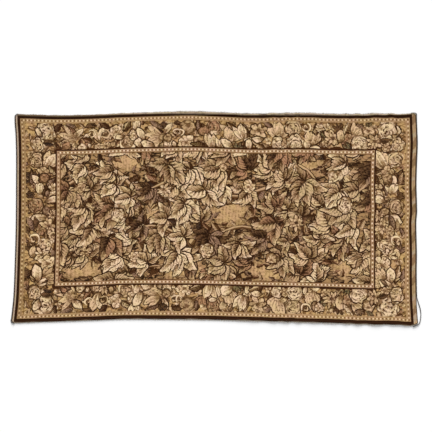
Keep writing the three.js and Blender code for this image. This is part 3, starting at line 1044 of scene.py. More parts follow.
for along, across, wide, tall in CLEARINGS:
    turn = np.radians(np.arange(0, 360, 18))
    wobble = 1 + chance.uniform(-0.35, 0.25, len(turn))
    edge = wobble * (wide * np.cos(turn) + 1j * tall * np.sin(turn))
    shape(Pen(along, across, zone=FIELD), edge, ("#c09b6f", "#83643f"), CLEARING)
    for spot in (edge * chance.uniform(0.85, 1.15, len(turn)))[::2]:
        inwards = np.degrees(np.angle(-spot)) + chance.uniform(-70, 70)
        tone = chance.choice(["tan", "rust", "gold", "dark", "mauve"])
        pen = Pen(along + spot.real, across + spot.imag, inwards, zone=FIELD)
        leaf(pen, chance.uniform(28, 46), str(tone))
for line in STEMS:
    points = curve([a + 1j * b for a, b in line], 5 * len(line))
    stroke(Pen(0, 0, zone=FIELD), points, np.linspace(18, 8, len(points)), "tan", 3, INK)
count = 0
for row, across in enumerate(np.arange(low + 20, high + 40, BUNCH_ROWS)):
    for along in np.arange(right + 20 - ROW_SHIFT * (row % 2), left - 30, -BUNCH_STEP):
        lightness = (right - along) / (right - left)
        light = chance.random() < 0.58 + 0.2 * np.sin(np.pi * lightness)
        tones = ["cream", "gold", "gold", "olive"] if light else ["tan", "rust", "mauve", "tan"]
        tone = chance.choice(tones)
        turn = 180 + chance.uniform(-80, 80)
        pen = Pen(along + chance.uniform(-36, 36), across + chance.uniform(-28, 28), turn, zone=FIELD)
        if any(abs((pen.spot.real - x) / wide + 1j * (pen.spot.imag - y) / tall) < 0.9
               for x, y, wide, tall in CLEARINGS):
            continue
        bunch(pen, chance.uniform(84, 128), str(tone), int(chance.integers(3, 7)), chance.uniform(130, 250))
        count += 1
FIELD_FLOWERS = [  # along, across, motif, size, tone
    (1560, 560, "rose", 40, "cream"), (1330, 470, "daisy", 38, "gold"), (1100, 640, "blossom", 32, "cream"),
    (900, 330, "rose", 36, "gold"), (700, 620, "daisy", 34, "cream"), (480, 500, "rose", 34, "cream"),
    (300, 640, "blossom", 28, "gold"), (1210, 300, "round", 24, "gold"), (560, 300, "blossom", 28, "cream"),
    (1500, 700, "round", 22, "cream"), (980, 730, "round", 20, "gold"), (330, 330, "daisy", 30, "gold"),
]
for along, across, motif, size, tone in FIELD_FLOWERS:
    set_off(Pen(along, across, 180, zone=FIELD), MOTIFS[motif], size, tone)
print("bunches:", count, "shapes in all:", len(shapes))

# %% [markdown]
# ## Cutting the sheet along the design
# All the outlines go through one constrained Delaunay triangulation, and each triangle finds its zone and
# the topmost shape that it is in. Most outlines are partly hidden by later ones, and their hidden corners
# would waste triangles. So a second triangulation takes only the edges that still part two different
# shapes, with a lattice of points that lets the sheet follow its wandering, puckered edges.

# %% The lattice that bends the sheet
SELVEDGE_ROWS = [0, 1.2, 2.5, 4.7, 7, 8.5, 10]
PUCKER_ROWS = [17, 24, 33, 42, 55]
PUCKER_STEP, INNER_STEP = 9, 28


def lattice():
    points = []
    for inset in SELVEDGE_ROWS + PUCKER_ROWS:
        for along in np.linspace(0, CLOTH_LENGTH, round(CLOTH_LENGTH / PUCKER_STEP) + 1):
            points += [along + 1j * inset, along + 1j * (CLOTH_WIDTH - inset)]
    ends = [0, 3, 7, 12, 20, 32]
    columns = ends + list(np.arange(50, CLOTH_LENGTH - 40, INNER_STEP)) + [CLOTH_LENGTH - x for x in ends]
    for along in columns:
        for across in np.linspace(75, CLOTH_WIDTH - 75, round((CLOTH_WIDTH - 150) / INNER_STEP) + 1):
            points.append(along + 1j * across)
    for name in BANDS:
        left, right, low, high = band_corners(name)
        for along in np.linspace(left, right, round((right - left) / INNER_STEP) + 1):
            points += [along + 1j * low, along + 1j * high]
        for across in np.linspace(low, high, round((high - low) / INNER_STEP) + 1):
            points += [left + 1j * across, right + 1j * across]
    return list(np.unique(np.round(points, 3)))


# %% Triangulate, and find each triangle's shape
def triangulated(points, edges, outlines):
    """Points and triangles of a flat triangulation, and for each triangle the outlines that it is in."""
    verts, _, triangles, _, _, within = delaunay_2d_cdt(
        [Vector((z.real, z.imag)) for z in points], edges, outlines, 0, 1e-5, bool(outlines))
    return np.array([v[:] for v in verts]), np.array([t[:] for t in triangles]), within


def zone_of(spots):
    zone = np.zeros(len(spots), int)
    for name, number in ZONES.items():
        left, right, low, high = band_corners(name)
        inside = (spots[:, 0] > left) & (spots[:, 0] < right) & (spots[:, 1] > low) & (spots[:, 1] < high)
        zone[inside] = number
    return zone


def own_grid(spots, rows):
    """Spots in their shapes' own grids, from -1 to 1 over each outline's length and width."""
    z = (spots[..., 0] - rows[..., 2]) + 1j * (spots[..., 1] - rows[..., 3])
    z = z / (rows[..., 4] + 1j * rows[..., 5])
    z = np.where(rows[..., 1] > 0, np.conj(z), z)
    return (z.real - rows[..., 6]) / rows[..., 8], (z.imag - rows[..., 7]) / rows[..., 9]


STRIPS = 12  # the first cut is made strip by strip, which keeps its memory small


def clipped(points, towards, limit):
    """The part of an outline that reaches past a limit in one direction, given as 1, -1, 1j or -1j."""
    past = (points * np.conj(towards)).real - limit
    if not len(points) or past.min() >= 0:
        return points
    if past.max() <= 0:
        return points[:0]
    kept = []
    for a, b, here, there in zip(points, np.roll(points, -1), past, np.roll(past, -1)):
        if here >= 0:
            kept.append(a)
        if here * there < 0:
            kept.append(a + (b - a) * here / (here - there))
    return np.array(kept)


def within_band(points, zone):
    """An outline without what reaches out of its own band's rectangle."""
    left, right, low, high = band_corners(list(BANDS)[zone])
    for towards, limit in ((1, left), (-1, -right), (1j, low), (-1j, -high)):
        points = clipped(points, towards, limit)
    return points


def first_cut(start, end):
    """Triangulates a strip of the design, and finds each triangle's topmost shape."""
    chosen, pieces = [], []
    for k, points in enumerate(in_bands):
        piece = clipped(clipped(points, 1, start), -1, -end)
        if len(piece) > 2:
            chosen.append(k)
            pieces.append(piece)
    loose = [z for z in grid_points if start <= z.real <= end]
    first = np.cumsum([len(loose)] + [len(piece) for piece in pieces])
    outlines = [list(range(first[k], first[k + 1])) for k in range(len(pieces))]
    flat, triangles, within = triangulated(list(chain(loose, *pieces)), [], outlines)
    centres = flat[triangles].mean(1)
    counts = np.fromiter((len(found) for found in within), int, len(within))
    triangle = np.repeat(np.arange(len(triangles)), counts)
    candidate = np.array(chosen)[np.fromiter(chain.from_iterable(within), int, counts.sum())]
    u, v = own_grid(centres[triangle], stamp_rows[candidate])
    inside = (np.abs(u) < 1.01) & (np.abs(v) < 1.01)
    inside &= stamp_rows[candidate, 0] == zone_of(centres)[triangle]
    topmost = np.full(len(triangles), -1)
    np.maximum.at(topmost, triangle[inside], candidate[inside])
    return flat, triangles, topmost


stamp_rows = np.array(stamps, float)
limits = np.round(np.linspace(0, CLOTH_LENGTH, STRIPS + 1), 3)
grid_points = lattice()
in_bands = [within_band(points, stamp[0]) for points, stamp in zip(shapes, stamps)]
cuts = [first_cut(start, end) for start, end in zip(limits, limits[1:])]
offsets = np.cumsum([0] + [len(flat) for flat, _, _ in cuts])
topmost = np.concatenate([owner for _, _, owner in cuts])
triangles = np.concatenate([offset + found for offset, (_, found, _) in zip(offsets, cuts)])
flat = np.round(np.concatenate([flat for flat, _, _ in cuts]), 3)
flat, same = np.unique(flat, axis=0, return_inverse=True)
triangles = same.ravel()[triangles]
print("first cut:", len(triangles), "triangles, of which bare:", int((topmost < 0).sum()))

# %% Keep only the edges that show
STRAIGHT = 0.45  # a corner this near the line between its neighbours, in millimetres, is dropped


def showing_edges(triangles, topmost):
    """The edges between two triangles of different shapes, and those round the outside."""
    edges = np.sort(np.concatenate([triangles[:, [k, (k + 1) % 3]] for k in range(3)]), axis=1)
    owner = np.tile(topmost, 3)
    order = np.lexsort((edges[:, 1], edges[:, 0]))
    edges, owner = edges[order], owner[order]
    paired = np.flatnonzero((edges[1:] == edges[:-1]).all(1))
    outer = np.ones(len(edges), bool)
    outer[paired] = outer[paired + 1] = False
    parts = paired[owner[paired] != owner[paired + 1]]
    return edges[np.r_[parts, np.flatnonzero(outer)]]


def straightened(points, edges, fixed):
    """The edges again, without the corners that lie on a straight run between two others."""
    near = {}
    for a, b in edges.tolist():
        near.setdefault(a, set()).add(b)
        near.setdefault(b, set()).add(a)
    z = points[:, 0] + 1j * points[:, 1]
    for here in list(near):
        if here in fixed or len(near[here]) != 2:
            continue
        a, b = near[here]
        if b in near[a]:
            continue
        run = z[b] - z[a]
        off = abs(((z[here] - z[a]) * np.conj(run)).imag) / max(abs(run), 1e-9)
        if off < STRAIGHT:
            del near[here]
            near[a].discard(here)
            near[b].discard(here)
            near[a].add(b)
            near[b].add(a)
    return [(a, b) for a in near for b in near[a] if a < b]


kept = KDTree(len(grid_points))
for k, z in enumerate(grid_points):
    kept.insert((z.real, z.imag, 0), k)
kept.balance()
edges = showing_edges(triangles, topmost)
used = np.unique(edges)
fixed = {int(k) for k in used if kept.find((*flat[k], 0))[2] < 1e-3}
edges = straightened(flat, edges, fixed)
used = sorted({k for edge in edges for k in edge})
number = {k: i for i, k in enumerate(used)}
corner_points = [complex(*flat[k]) for k in used]
edges = [(number[a], number[b]) for a, b in edges]
face_points, face_triangles, _ = triangulated(corner_points + grid_points, edges, [])

# %% Hand each final triangle its shape
lookup = BVHTree.FromPolygons([(x, y, 0) for x, y in flat], triangles.tolist())
centres = face_points[face_triangles].mean(1)
found = np.array([lookup.find_nearest((x, y, 0))[2] for x, y in centres])
topmost = topmost[found]
print("the woven face:", len(face_triangles), "triangles")

# %% [markdown]
# ## From the flat design to the lying sheet
# Each point of the flat face is carried to where it lies, with the rolled selvedges and the lifts of the
# puckers. The back is a coarser grid that shares the face's outline, and a narrow rim joins the two, so the
# sheet is one closed skin about 2 mm thick. On the back of such cloth the yarns that the face leaves out
# run loose, so its colours are the face's turned round and blurred.

# %% Heights of the face and the back
# Columns: inset from the long side, height, in millimetres
UPPER_HEIGHTS = [(0, 1.7), (1.2, 2.6), (2.5, 3.0), (4.7, 3.15), (7, 2.9), (8.5, 2.3), (10, 2)]
UNDER_HEIGHTS = [(0, 0.8), (1.2, 0.25), (2.5, 0), (10, 0)]


def height(along, across, rows):
    inset = np.minimum(across, CLOTH_WIDTH - across)
    return np.interp(inset, *np.array(rows, float).T) + lift(along, across)


def outline_order(points):
    """The points on the flat cloth's outline, once round."""
    along, across = points.T
    on = np.flatnonzero((along < 1e-3) | (along > CLOTH_LENGTH - 1e-3)
                        | (across < 1e-3) | (across > CLOTH_WIDTH - 1e-3))
    a, b = along[on], across[on]
    run = np.where(b < 1e-3, a, np.where(a > CLOTH_LENGTH - 1e-3, CLOTH_LENGTH + b,
                   np.where(b > CLOTH_WIDTH - 1e-3, 2 * CLOTH_LENGTH + CLOTH_WIDTH - a,
                            2 * CLOTH_LENGTH + 2 * CLOTH_WIDTH - b)))
    order = np.argsort(run)
    return on[order], run[order]


BACK_STEP = 27
rim, rim_run = outline_order(face_points)
back_grid = [
    along + 1j * across
    for along in np.arange(BACK_STEP, CLOTH_LENGTH - 5, BACK_STEP)
    for across in [2.5, 10, 24, 40] + list(np.arange(60, CLOTH_WIDTH - 50, BACK_STEP)) + [
        CLOTH_WIDTH - x for x in (40, 24, 10, 2.5)]
]
rim_points = [complex(*face_points[k]) for k in rim]
rim_edges = [(k, (k + 1) % len(rim)) for k in range(len(rim))]
back_points, back_triangles, _ = triangulated(rim_points + back_grid, rim_edges, [])

# %% Join face, rim and back
face_z = height(*face_points.T, UPPER_HEIGHTS) * MM
back_z = height(*back_points.T, UNDER_HEIGHTS) * MM
points = np.r_[np.c_[place(*face_points.T), face_z], np.c_[place(*back_points.T), back_z]]
base = len(face_points)
under = [base + k for k in range(len(rim))]
rim_faces = []
for k in range(len(rim)):
    after = (k + 1) % len(rim)
    rim_faces.append((rim[k], under[k], under[after], rim[after]))
all_faces = [tuple(t) for t in face_triangles.tolist()]
all_faces += [tuple(base + k for k in t[::-1]) for t in back_triangles.tolist()]
all_faces += rim_faces
tapestry = add_mesh("tapestry", points, all_faces)
print("back:", len(back_triangles), "triangles, rim:", len(rim_faces), "quads")
in_order = np.allclose(back_points[: len(rim)], face_points[rim], atol=1e-3)
print("back's outline kept its order:", bool(in_order))

# %% [markdown]
# ## The numbers that the weave reads
# Each corner of the mesh carries what the material needs: the shape's light and deep dye, its own grid, how
# it is shaded, and its veins. The back carries the turned-round, blurred colours of the face.

# %% Fill the corner attributes
rows = stamp_rows[topmost]
corners = face_points[face_triangles]
u, v = own_grid(corners, rows[:, None, :])
face_corners = 3 * len(face_triangles)
back_corners = 3 * len(back_triangles)
rim_corners = 4 * len(rim_faces)
total = face_corners + back_corners + rim_corners


def back_colours():
    """A colour for each corner of the back: the face's own, blurred and turned about its mean."""
    tree = KDTree(len(centres))
    mix = 0.6 * rows[:, LIGHT_DYE] + 0.4 * rows[:, DEEP_DYE]
    for k, (x, y) in enumerate(centres):
        tree.insert((x, y, 0), k)
    tree.balance()
    seen = np.array([mix[[hit[1] for hit in tree.find_n((x, y, 0), 5)]].mean(0) for x, y in back_points])
    mean = seen.mean(0)
    return np.clip(mean + 0.75 * (mean - seen), 0.02, 1)[back_triangles].reshape(-1, 3)


RIM_DYE = linear("#6f5233")
light = np.concatenate([
    np.repeat(rows[:, LIGHT_DYE], 3, 0), back_colours(), np.tile(RIM_DYE, (rim_corners, 1))])
deep = np.concatenate([
    np.repeat(rows[:, DEEP_DYE], 3, 0), light[face_corners : face_corners + back_corners] * 0.6,
    np.tile(RIM_DYE * 0.6, (rim_corners, 1))])
none = np.zeros(back_corners + rim_corners)
grid_u = np.r_[u.ravel(), none]
grid_v = np.r_[v.ravel(), none]
reverse = np.r_[np.zeros(face_corners), np.ones(back_corners), np.zeros(rim_corners)]
look = np.concatenate([np.repeat(rows[:, LOOK], 3, 0), np.zeros((len(none), 8))])


def corner_attribute(mesh, name, columns):
    """Writes up to four columns of numbers on the mesh's corners, as an attribute a material can read."""
    values = np.ones((total, 4), np.float32)
    for k, column in enumerate(columns):
        values[:, k] = column
    mesh.attributes.new(name, "FLOAT_COLOR", "CORNER").data.foreach_set("color", values.ravel())


mesh = tapestry.data
corner_attribute(mesh, "light_dye", light.T)
corner_attribute(mesh, "deep_dye", deep.T)
corner_attribute(mesh, "own_grid", (grid_u, grid_v, reverse))
corner_attribute(mesh, "shading", look[:, 0:4].T)
corner_attribute(mesh, "veins", look[:, 4:8].T)

# %% A flat map of the two faces, for baking
# The face takes the map's upper part, the back its lower part, and the rim the thin strip between
FACE_FROM, BACK_UNTIL, RIM_LOW, RIM_HIGH = 0.485, 0.475, 0.477, 0.483
face_uv = np.c_[corners[..., 0].ravel() / CLOTH_LENGTH,
                FACE_FROM + (1 - FACE_FROM) * corners[..., 1].ravel() / CLOTH_WIDTH]
back_flat = back_points[back_triangles[:, ::-1]].reshape(-1, 2)
back_uv = np.c_[back_flat[:, 0] / CLOTH_LENGTH, BACK_UNTIL * back_flat[:, 1] / CLOTH_WIDTH]
around = rim_run / (2 * (CLOTH_LENGTH + CLOTH_WIDTH))
ahead = np.r_[around[1:], 1]
rim_uv = np.stack([
    np.c_[around, np.full(len(rim), RIM_HIGH)], np.c_[around, np.full(len(rim), RIM_LOW)],
    np.c_[ahead, np.full(len(rim), RIM_LOW)], np.c_[ahead, np.full(len(rim), RIM_HIGH)]], 1).reshape(-1, 2)
flat_map = mesh.uv_layers.new(name="OFBake")
flat_map.data.foreach_set("uv", np.concatenate([face_uv, back_uv, rim_uv]).astype(np.float32).ravel())
select_only(tapestry)
bpy.ops.object.shade_smooth_by_angle(angle=np.radians(50))
print("corners with a look:", total)

# %% [markdown]
# ## The frayed selvedges
# Both long sides have a soft fuzz of broken yarn ends, up to about 12 mm long and longest over the
# puckered stretch. Hair curves would be the usual way, but the model has to be plain meshes. Here each yarn
# end is a thin spike with four faces, rooted in the sheet's rim and sinking towards the surface, and all of
# them are joined in one mesh.

# %% The yarn ends
END_WIDTH = 1.3  # mm: a real yarn end is thinner, and drawn thick enough to show
END_ROOT, END_SLANT = 0.8, 3.5  # mm: how far inside the edge it starts, and how far its tip lies to a side
# Columns: across the cloth at the edge, way out, millimetres between ends, their shortest and longest reach
FRAYED_SIDES = [(CLOTH_WIDTH, 1, 0.6, 3.0, 9.5), (0, -1, 1.8, 4.0, 12.0)]
end_points = []
for edge, way, step, shortest, longest in FRAYED_SIDES:
    along = np.arange(10, CLOTH_LENGTH - 10, step)
    along = along + chance.uniform(-step, step, len(along))
    thick = 0.45 + 0.35 * smoothstep(along, 400, 1100) + 0.2 * np.sin(along / 37) * np.sin(along / 11)
    thick = thick * (1 - 0.5 * smoothstep(along, 1650, 1820))
    reach = chance.uniform(shortest, longest, len(along)) * thick
    root, tip = edge - way * END_ROOT, edge + way * reach
    slant = chance.uniform(-END_SLANT, END_SLANT, len(along))
    root_z = chance.uniform(0.9, 1.5, len(along)) + lift(along, np.clip(root, 0, CLOTH_WIDTH))
    tip_z = root_z * chance.uniform(0.2, 0.8, len(along))
    half = END_WIDTH / 2 * chance.uniform(0.6, 1.2, len(along))
    corners_of_end = [
        (along - way * half, root, root_z), (along + way * half, root, root_z),
        (along, root, root_z + half), (along + slant, tip, tip_z),
    ]
    spots = [np.c_[place(x, y + 0 * x), z * MM] for x, y, z in corners_of_end]
    end_points.append(np.stack(spots, 1).reshape(-1, 3))
end_points = np.concatenate(end_points)
end_faces = []
for first in range(0, len(end_points), 4):
    for a, b, c in ((0, 1, 2), (0, 3, 1), (1, 3, 2), (2, 3, 0)):
        end_faces.append((first + a, first + b, first + c))
fuzz = add_mesh("selvedge_fuzz", end_points, end_faces)
turn_faces_outwards(fuzz)
print("yarn ends:", len(end_points) // 4)

# %% [markdown]
# ## The woven wool
# Jacquard tapestry cloth is matt, ribbed and slightly mottled, because every area mixes several yarns. The
# material first works out how deep the dye is at each spot, then mixes each shape's two dyes by it, lets
# the hue and the brightness drift a little, and last raises the ribs as bump.

# %% The cloth's material
wool, tree = new_material("jacquard tapestry weave, wool and cotton")
RIB_PITCH = 2.4  # mm: real ribs are perhaps 1.2 mm apart, and are drawn coarser so that they show
# The sizes of the unevenness in millimetres, from single yarns to slow fading
GRAIN, YARN_MOTTLE, SPECK, BLOTCH, HUE_PATCH, CLOUD = 1.5, 3.2, 8, 11, 40, 45

# %% [markdown]
# The mesh's corners carry each shape's numbers under five names, the two dyes among them. They are read
# once, and all but the dyes are kept in a dictionary, so that the sums below can use them by name.

# %% What the corners carry
CARRIED = {
    "own_grid": ("u", "v", "reverse"),
    "shading": ("over", "to rim", "to foot", "to side"),
    "veins": ("vein depth", "veins across", "veins along", "leafy"),
}
known = {}
for name, parts in CARRIED.items():
    read = node(tree, "ShaderNodeAttribute", attribute_name=name)
    split = node(tree, "ShaderNodeSeparateXYZ", {0: read.outputs["Vector"]})
    known.update(zip(parts, (*split.outputs, read.outputs["Alpha"])))
dyes = [node(tree, "ShaderNodeAttribute", attribute_name=name).outputs["Color"]
        for name in ("light_dye", "deep_dye")]
spot = node(tree, "ShaderNodeTexCoord").outputs["Object"]

# %% [markdown]
# Behind the drawn leaves lies a ground of smaller ones. Stretched Voronoi cells make them, in two
# directions, bent by a slow noise: each cell has a tone of its own, and dark gaps part it from the next.

# %% The leafy ground
bend = node(tree, "ShaderNodeTexNoise", {"Vector": spot, "Scale": 1 / (38 * MM), "Detail": 2.0})
bent = node(tree, "ShaderNodeVectorMath", {0: bend.outputs["Color"], 1: (18 * MM, 18 * MM, 0), 2: spot},
            operation="MULTIPLY_ADD").outputs[0]
for number, turn, long, wide in ((1, 0.6, 34, 15), (2, -0.9, 30, 13)):
    turned = node(tree, "ShaderNodeMapping", {
        "Vector": bent, "Rotation": (0, 0, turn),
        "Scale": (1 / (long * MM), 1 / (wide * MM), 0)}).outputs[0]
    cells = node(tree, "ShaderNodeTexVoronoi", {"Vector": turned, "Scale": 1.0}, voronoi_dimensions="2D")
    edges = node(tree, "ShaderNodeTexVoronoi", {"Vector": turned, "Scale": 1.0}, voronoi_dimensions="2D",
                 feature="DISTANCE_TO_EDGE")
    known[f"tone {number}"] = node(tree, "ShaderNodeSeparateXYZ", {0: cells.outputs["Color"]}).outputs[0]
    known[f"middle {number}"] = cells.outputs["Distance"]
    known[f"edge {number}"] = edges.outputs["Distance"]

# %% [markdown]
# No dyed yarn is even, and each area mixes several yarns. So noises at the yarns' own sizes break up the
# shading: streaks along the ribs, mottling across them, small dark specks, and on the back the long loose
# floats of the yarns that the face leaves out.

# %% The yarns' noises
NOISES = [  # name, size along X and Y in millimetres, detail
    ("streaks", 15, 4, 3), ("mottle", YARN_MOTTLE, YARN_MOTTLE, 3), ("blotches", BLOTCH, BLOTCH, 3),
    ("floats", 70, 3, 3), ("specks", SPECK, SPECK, 2), ("patches", 30, 30, 1),
    ("cloud", CLOUD, CLOUD, 4), ("grain", GRAIN, GRAIN, 1), ("hue", HUE_PATCH, HUE_PATCH, 3),
]
for name, along, across, detail in NOISES:
    scaled = node(tree, "ShaderNodeMapping", {
        "Vector": spot, "Scale": (1 / (along * MM), 1 / (across * MM), 0)})
    noise = node(tree, "ShaderNodeTexNoise", {"Vector": scaled.outputs[0], "Scale": 1.0, "Detail": detail})
    known[name] = noise.outputs[0]

# %% [markdown]
# The sums are a table, one node a row. They first work out how deep the dye is at each spot, from the
# shape's own shading, its veins, the leafy ground and the noises. A weaver has only a few yarns, so the
# depth is then turned into three steps: the light dye, both together, and the deep one.

# %% How deep the dye is
# Columns: the result, the operation, and what goes in, an earlier result or a number. A rise goes smoothly
# from 0 to 1 while its first number goes from the second to the third.
TURN = 2 * np.pi
SUMS = [
    ("u squared", "MULTIPLY", "u", "u"), ("distance", "MULTIPLY_ADD", "v", "v", "u squared"),
    ("distance", "SQRT", "distance"), ("rim", "rise", "distance", 0.35, 1.0),
    ("foot", "MULTIPLY_ADD", "u", -0.5, 0.5), ("foot", "POWER", "foot", 1.6),
    ("side", "MULTIPLY_ADD", "v", -0.5, 0.5),
    ("wave", "ABSOLUTE", "v"), ("wave", "MULTIPLY", "wave", "veins along"),
    ("wave", "MULTIPLY_ADD", "u", "veins across", "wave"), ("wave", "MULTIPLY", "wave", TURN),
    ("wave", "SINE", "wave"), ("vein", "MULTIPLY_ADD", "wave", 0.5, 0.3),
    ("near foot", "MULTIPLY_ADD", "foot", 0.9, 0.5), ("vein", "MULTIPLY", "vein", "near foot"),
    ("depth", "MULTIPLY_ADD", "rim", "to rim", "over"),
    ("depth", "MULTIPLY_ADD", "foot", "to foot", "depth"),
    ("depth", "MULTIPLY_ADD", "side", "to side", "depth"),
    ("depth", "MULTIPLY_ADD", "vein", "vein depth", "depth"),
    ("ground 1", "MULTIPLY_ADD", "middle 1", 0.5, "tone 1"), ("gap 1", "rise", "edge 1", 0.2, 0.02),
    ("ground 1", "MULTIPLY_ADD", "gap 1", 0.3, "ground 1"),
    ("ground 2", "MULTIPLY_ADD", "middle 2", 0.5, "tone 2"), ("gap 2", "rise", "edge 2", 0.2, 0.02),
    ("ground 2", "MULTIPLY_ADD", "gap 2", 0.3, "ground 2"),
    ("second", "rise", "patches", 0.48, 0.52), ("change", "SUBTRACT", "ground 2", "ground 1"),
    ("ground", "MULTIPLY_ADD", "second", "change", "ground 1"), ("ground", "SUBTRACT", "ground", 0.3),
    ("depth", "MULTIPLY_ADD", "ground", "leafy", "depth"),
    ("streaks", "SUBTRACT", "streaks", 0.5), ("depth", "MULTIPLY_ADD", "streaks", 0.5, "depth"),
    ("mottle", "SUBTRACT", "mottle", 0.5), ("depth", "MULTIPLY_ADD", "mottle", 0.5, "depth"),
    ("blotches", "SUBTRACT", "blotches", 0.5), ("depth", "MULTIPLY_ADD", "blotches", 0.7, "depth"),
    ("floats", "SUBTRACT", "floats", 0.5), ("floats", "MULTIPLY", "floats", 1.6),
    ("depth", "MULTIPLY_ADD", "floats", "reverse", "depth"),
    ("specks", "rise", "specks", 0.59, 0.64), ("specks", "MULTIPLY", "specks", 1.8),
    ("depth", "MULTIPLY_ADD", "specks", "vein depth", "depth"),
    ("both", "rise", "depth", 0.32, 0.42), ("deep", "rise", "depth", 0.62, 0.72),
    ("step", "ADD", "both", "deep"), ("step", "MULTIPLY", "step", 0.5),
    ("inky", "rise", "depth", 0.95, 1.08),
    ("cloud", "MULTIPLY_ADD", "cloud", 0.35, 0.93), ("grain", "MULTIPLY_ADD", "grain", 0.3, 0.85),
    ("bright", "MULTIPLY", "cloud", "grain"), ("redder", "rise", "hue", 0.65, 0.35),
]
for result, operation, *inputs in SUMS:
    inputs = {k: known[given] if isinstance(given, str) else given for k, given in enumerate(inputs)}
    if operation == "rise":
        made = node(tree, "ShaderNodeMapRange", inputs, interpolation_type="SMOOTHSTEP")
    else:
        made = node(tree, "ShaderNodeMath", inputs, operation=operation)
    known[result] = made.outputs[0]
print("sums in the weave:", len(SUMS))

# %% Its colour, its ribs and its surface
REDDER, GREENER = (1.01, 0.98, 1.04, 1), (0.985, 1.01, 0.93, 1)  # how the dyes' hue drifts over the cloth
colour = node(tree, "ShaderNodeMix", {0: known["step"], 6: dyes[0], 7: dyes[1]},
              data_type="RGBA").outputs[2]
ink = node(tree, "ShaderNodeVectorMath", {0: dyes[1], "Scale": 0.4}, operation="SCALE").outputs[0]
colour = node(tree, "ShaderNodeMix", {0: known["inky"], 6: colour, 7: ink}, data_type="RGBA").outputs[2]
colour = node(tree, "ShaderNodeVectorMath", {0: colour, "Scale": known["bright"]},
              operation="SCALE").outputs[0]
tint = node(tree, "ShaderNodeMix", {0: known["redder"], 6: GREENER, 7: REDDER}, data_type="RGBA").outputs[2]
colour = node(tree, "ShaderNodeVectorMath", {0: colour, 1: tint}, operation="MULTIPLY").outputs[0]
ribs = node(tree, "ShaderNodeTexWave", {
    "Vector": spot, "Scale": np.pi / (20 * RIB_PITCH * MM), "Distortion": 0.6,
    "Detail": 1.0, "Detail Scale": 2.0,
}, wave_type="BANDS", bands_direction="Y")
bump = node(tree, "ShaderNodeBump", {"Height": ribs.outputs["Fac"], "Distance": 0.0006, "Strength": 0.5})
surface = node(tree, "ShaderNodeBsdfPrincipled", {
    "Base Color": colour, "Roughness": 0.95, "Normal": bump.outputs[0], "Specular IOR Level": 0.08})
node(tree, "ShaderNodeOutputMaterial", {"Surface": surface.outputs[0]})
tapestry.data.materials.append(wool)

# %% [markdown]
# The edge cords are dark brown cotton, hard twisted: nearly matt, with fine fibres that catch a little
# light. One noise of about a millimetre mixes two near-black browns and raises the fibres. The cord's twist
# itself is in the mesh.

# %% The cord's material
cotton, tree = new_material("twisted cotton cord")
place_read = node(tree, "ShaderNodeTexCoord").outputs["Object"]
fibre = node(tree, "ShaderNodeTexNoise", {"Vector": place_read, "Scale": 1 / (1.2 * MM), "Detail": 3.0})
shade = node(tree, "ShaderNodeMix", {
    0: fibre.outputs[0], 6: (*linear("#1a120c"), 1), 7: (*linear("#3b2e22"), 1)},
    data_type="RGBA").outputs[2]
bump = node(tree, "ShaderNodeBump", {"Height": fibre.outputs[0], "Distance": 0.0004, "Strength": 0.6})
surface = node(tree, "ShaderNodeBsdfPrincipled", {
    "Base Color": shade, "Roughness": 0.9, "Normal": bump.outputs[0], "Specular IOR Level": 0.25})
node(tree, "ShaderNodeOutputMaterial", {"Surface": surface.outputs[0]})
for piece, _, _ in made_cords.values():
    piece.data.materials.append(cotton)

# %% [markdown]
# The yarn ends are the cloth's own yarns, loose and quite matt. Their dye is painted light, chosen by the
# side on which a spot lies:
# along the lower side, in the cloth's cast shadow, they are painted pale, and along the upper side, under
# the low sun, darker.

# %% The yarn ends' material
loose_wool, tree = new_material("loose wool yarn ends")
place_read = node(tree, "ShaderNodeTexCoord").outputs["Object"]
fibre = node(tree, "ShaderNodeTexNoise", {"Vector": place_read, "Scale": 1 / (9 * MM), "Detail": 3.0})
across = node(tree, "ShaderNodeSeparateXYZ", {0: place_read}).outputs[1]
upper = node(tree, "ShaderNodeMath", {0: across, 1: 0.0}, operation="GREATER_THAN").outputs[0]
# Painted light: pale dyes lift the lower side's ends out of the cast shadow, darker dyes tone down the
# upper side's ends under the sun
painted_light_dyes = []
for pale, deep in (("#e0d3bf", "#a8977f"), ("#95846e", "#34291f")):
    mixed = node(tree, "ShaderNodeMix", {
        0: fibre.outputs[0], 6: (*linear(pale), 1), 7: (*linear(deep), 1)}, data_type="RGBA")
    painted_light_dyes.append(mixed.outputs[2])
shade = node(tree, "ShaderNodeMix", {0: upper, 6: painted_light_dyes[0], 7: painted_light_dyes[1]}, data_type="RGBA").outputs[2]
surface = node(tree, "ShaderNodeBsdfPrincipled", {
    "Base Color": shade, "Roughness": 0.95, "Specular IOR Level": 0.1})
node(tree, "ShaderNodeOutputMaterial", {"Surface": surface.outputs[0]})
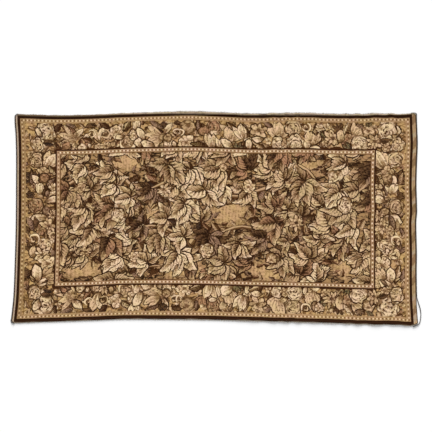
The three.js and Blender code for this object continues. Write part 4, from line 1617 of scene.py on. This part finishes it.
fuzz.data.materials.append(loose_wool)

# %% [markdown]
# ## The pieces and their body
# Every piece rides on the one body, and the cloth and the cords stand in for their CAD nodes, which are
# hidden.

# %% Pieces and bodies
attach(tapestry, "root")
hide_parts("tapestry_cloth")
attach(fuzz, "root")
for name, cad_node in (("left_edge_cord", "edge_cord_left"), ("right_edge_cord", "edge_cord_right"),
                       ("loose_edge_cord", "edge_cord_loose")):
    piece = made_cords[name][0]
    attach(piece, "root")
    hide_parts(cad_node)
loose, loose_middle, loose_length = made_cords["loose_edge_cord"]
tuple(loose_middle[0])
[tuple(p) for p in loose_middle]

# %% [markdown]
# ## The floor and the light
# The photograph's ground is pure white, with only a thin soft shadow along the cloth's lower side. A wide
# white floor under an even white sky gives that. A sun low over the upper side adds the shadow, and its
# wide spread keeps the shadow's edge soft.

# %% Floor and light
bpy.ops.object.select_all(action="DESELECT")
bpy.ops.mesh.primitive_plane_add(size=90, location=(0, 0, -0.0004))
floor = bpy.context.object
floor.name = "floor"
paper, tree = new_material("white paper backdrop")
surface = node(tree, "ShaderNodeBsdfPrincipled", {"Base Color": (0.96, 0.96, 0.96, 1), "Roughness": 0.95})
node(tree, "ShaderNodeOutputMaterial", {"Surface": surface.outputs[0]})
floor.data.materials.append(paper)
SKY, SUN_STRENGTH, SUN_RISE, SUN_SPREAD = 0.5, 6.2, 16.5, 22  # the last two in degrees
world = bpy.data.worlds.new("even sky")
world.use_nodes = True
world.node_tree.nodes["Background"].inputs[0].default_value = (1, 1, 1, 1)
world.node_tree.nodes["Background"].inputs[1].default_value = SKY
bpy.context.scene.world = world
bpy.ops.object.light_add(type="SUN", rotation=(np.radians(SUN_RISE - 90), 0, 0))
lamp = bpy.context.object
lamp.data.energy, lamp.data.angle = SUN_STRENGTH, np.radians(SUN_SPREAD)
bpy.context.scene.view_settings.view_transform = "Standard"
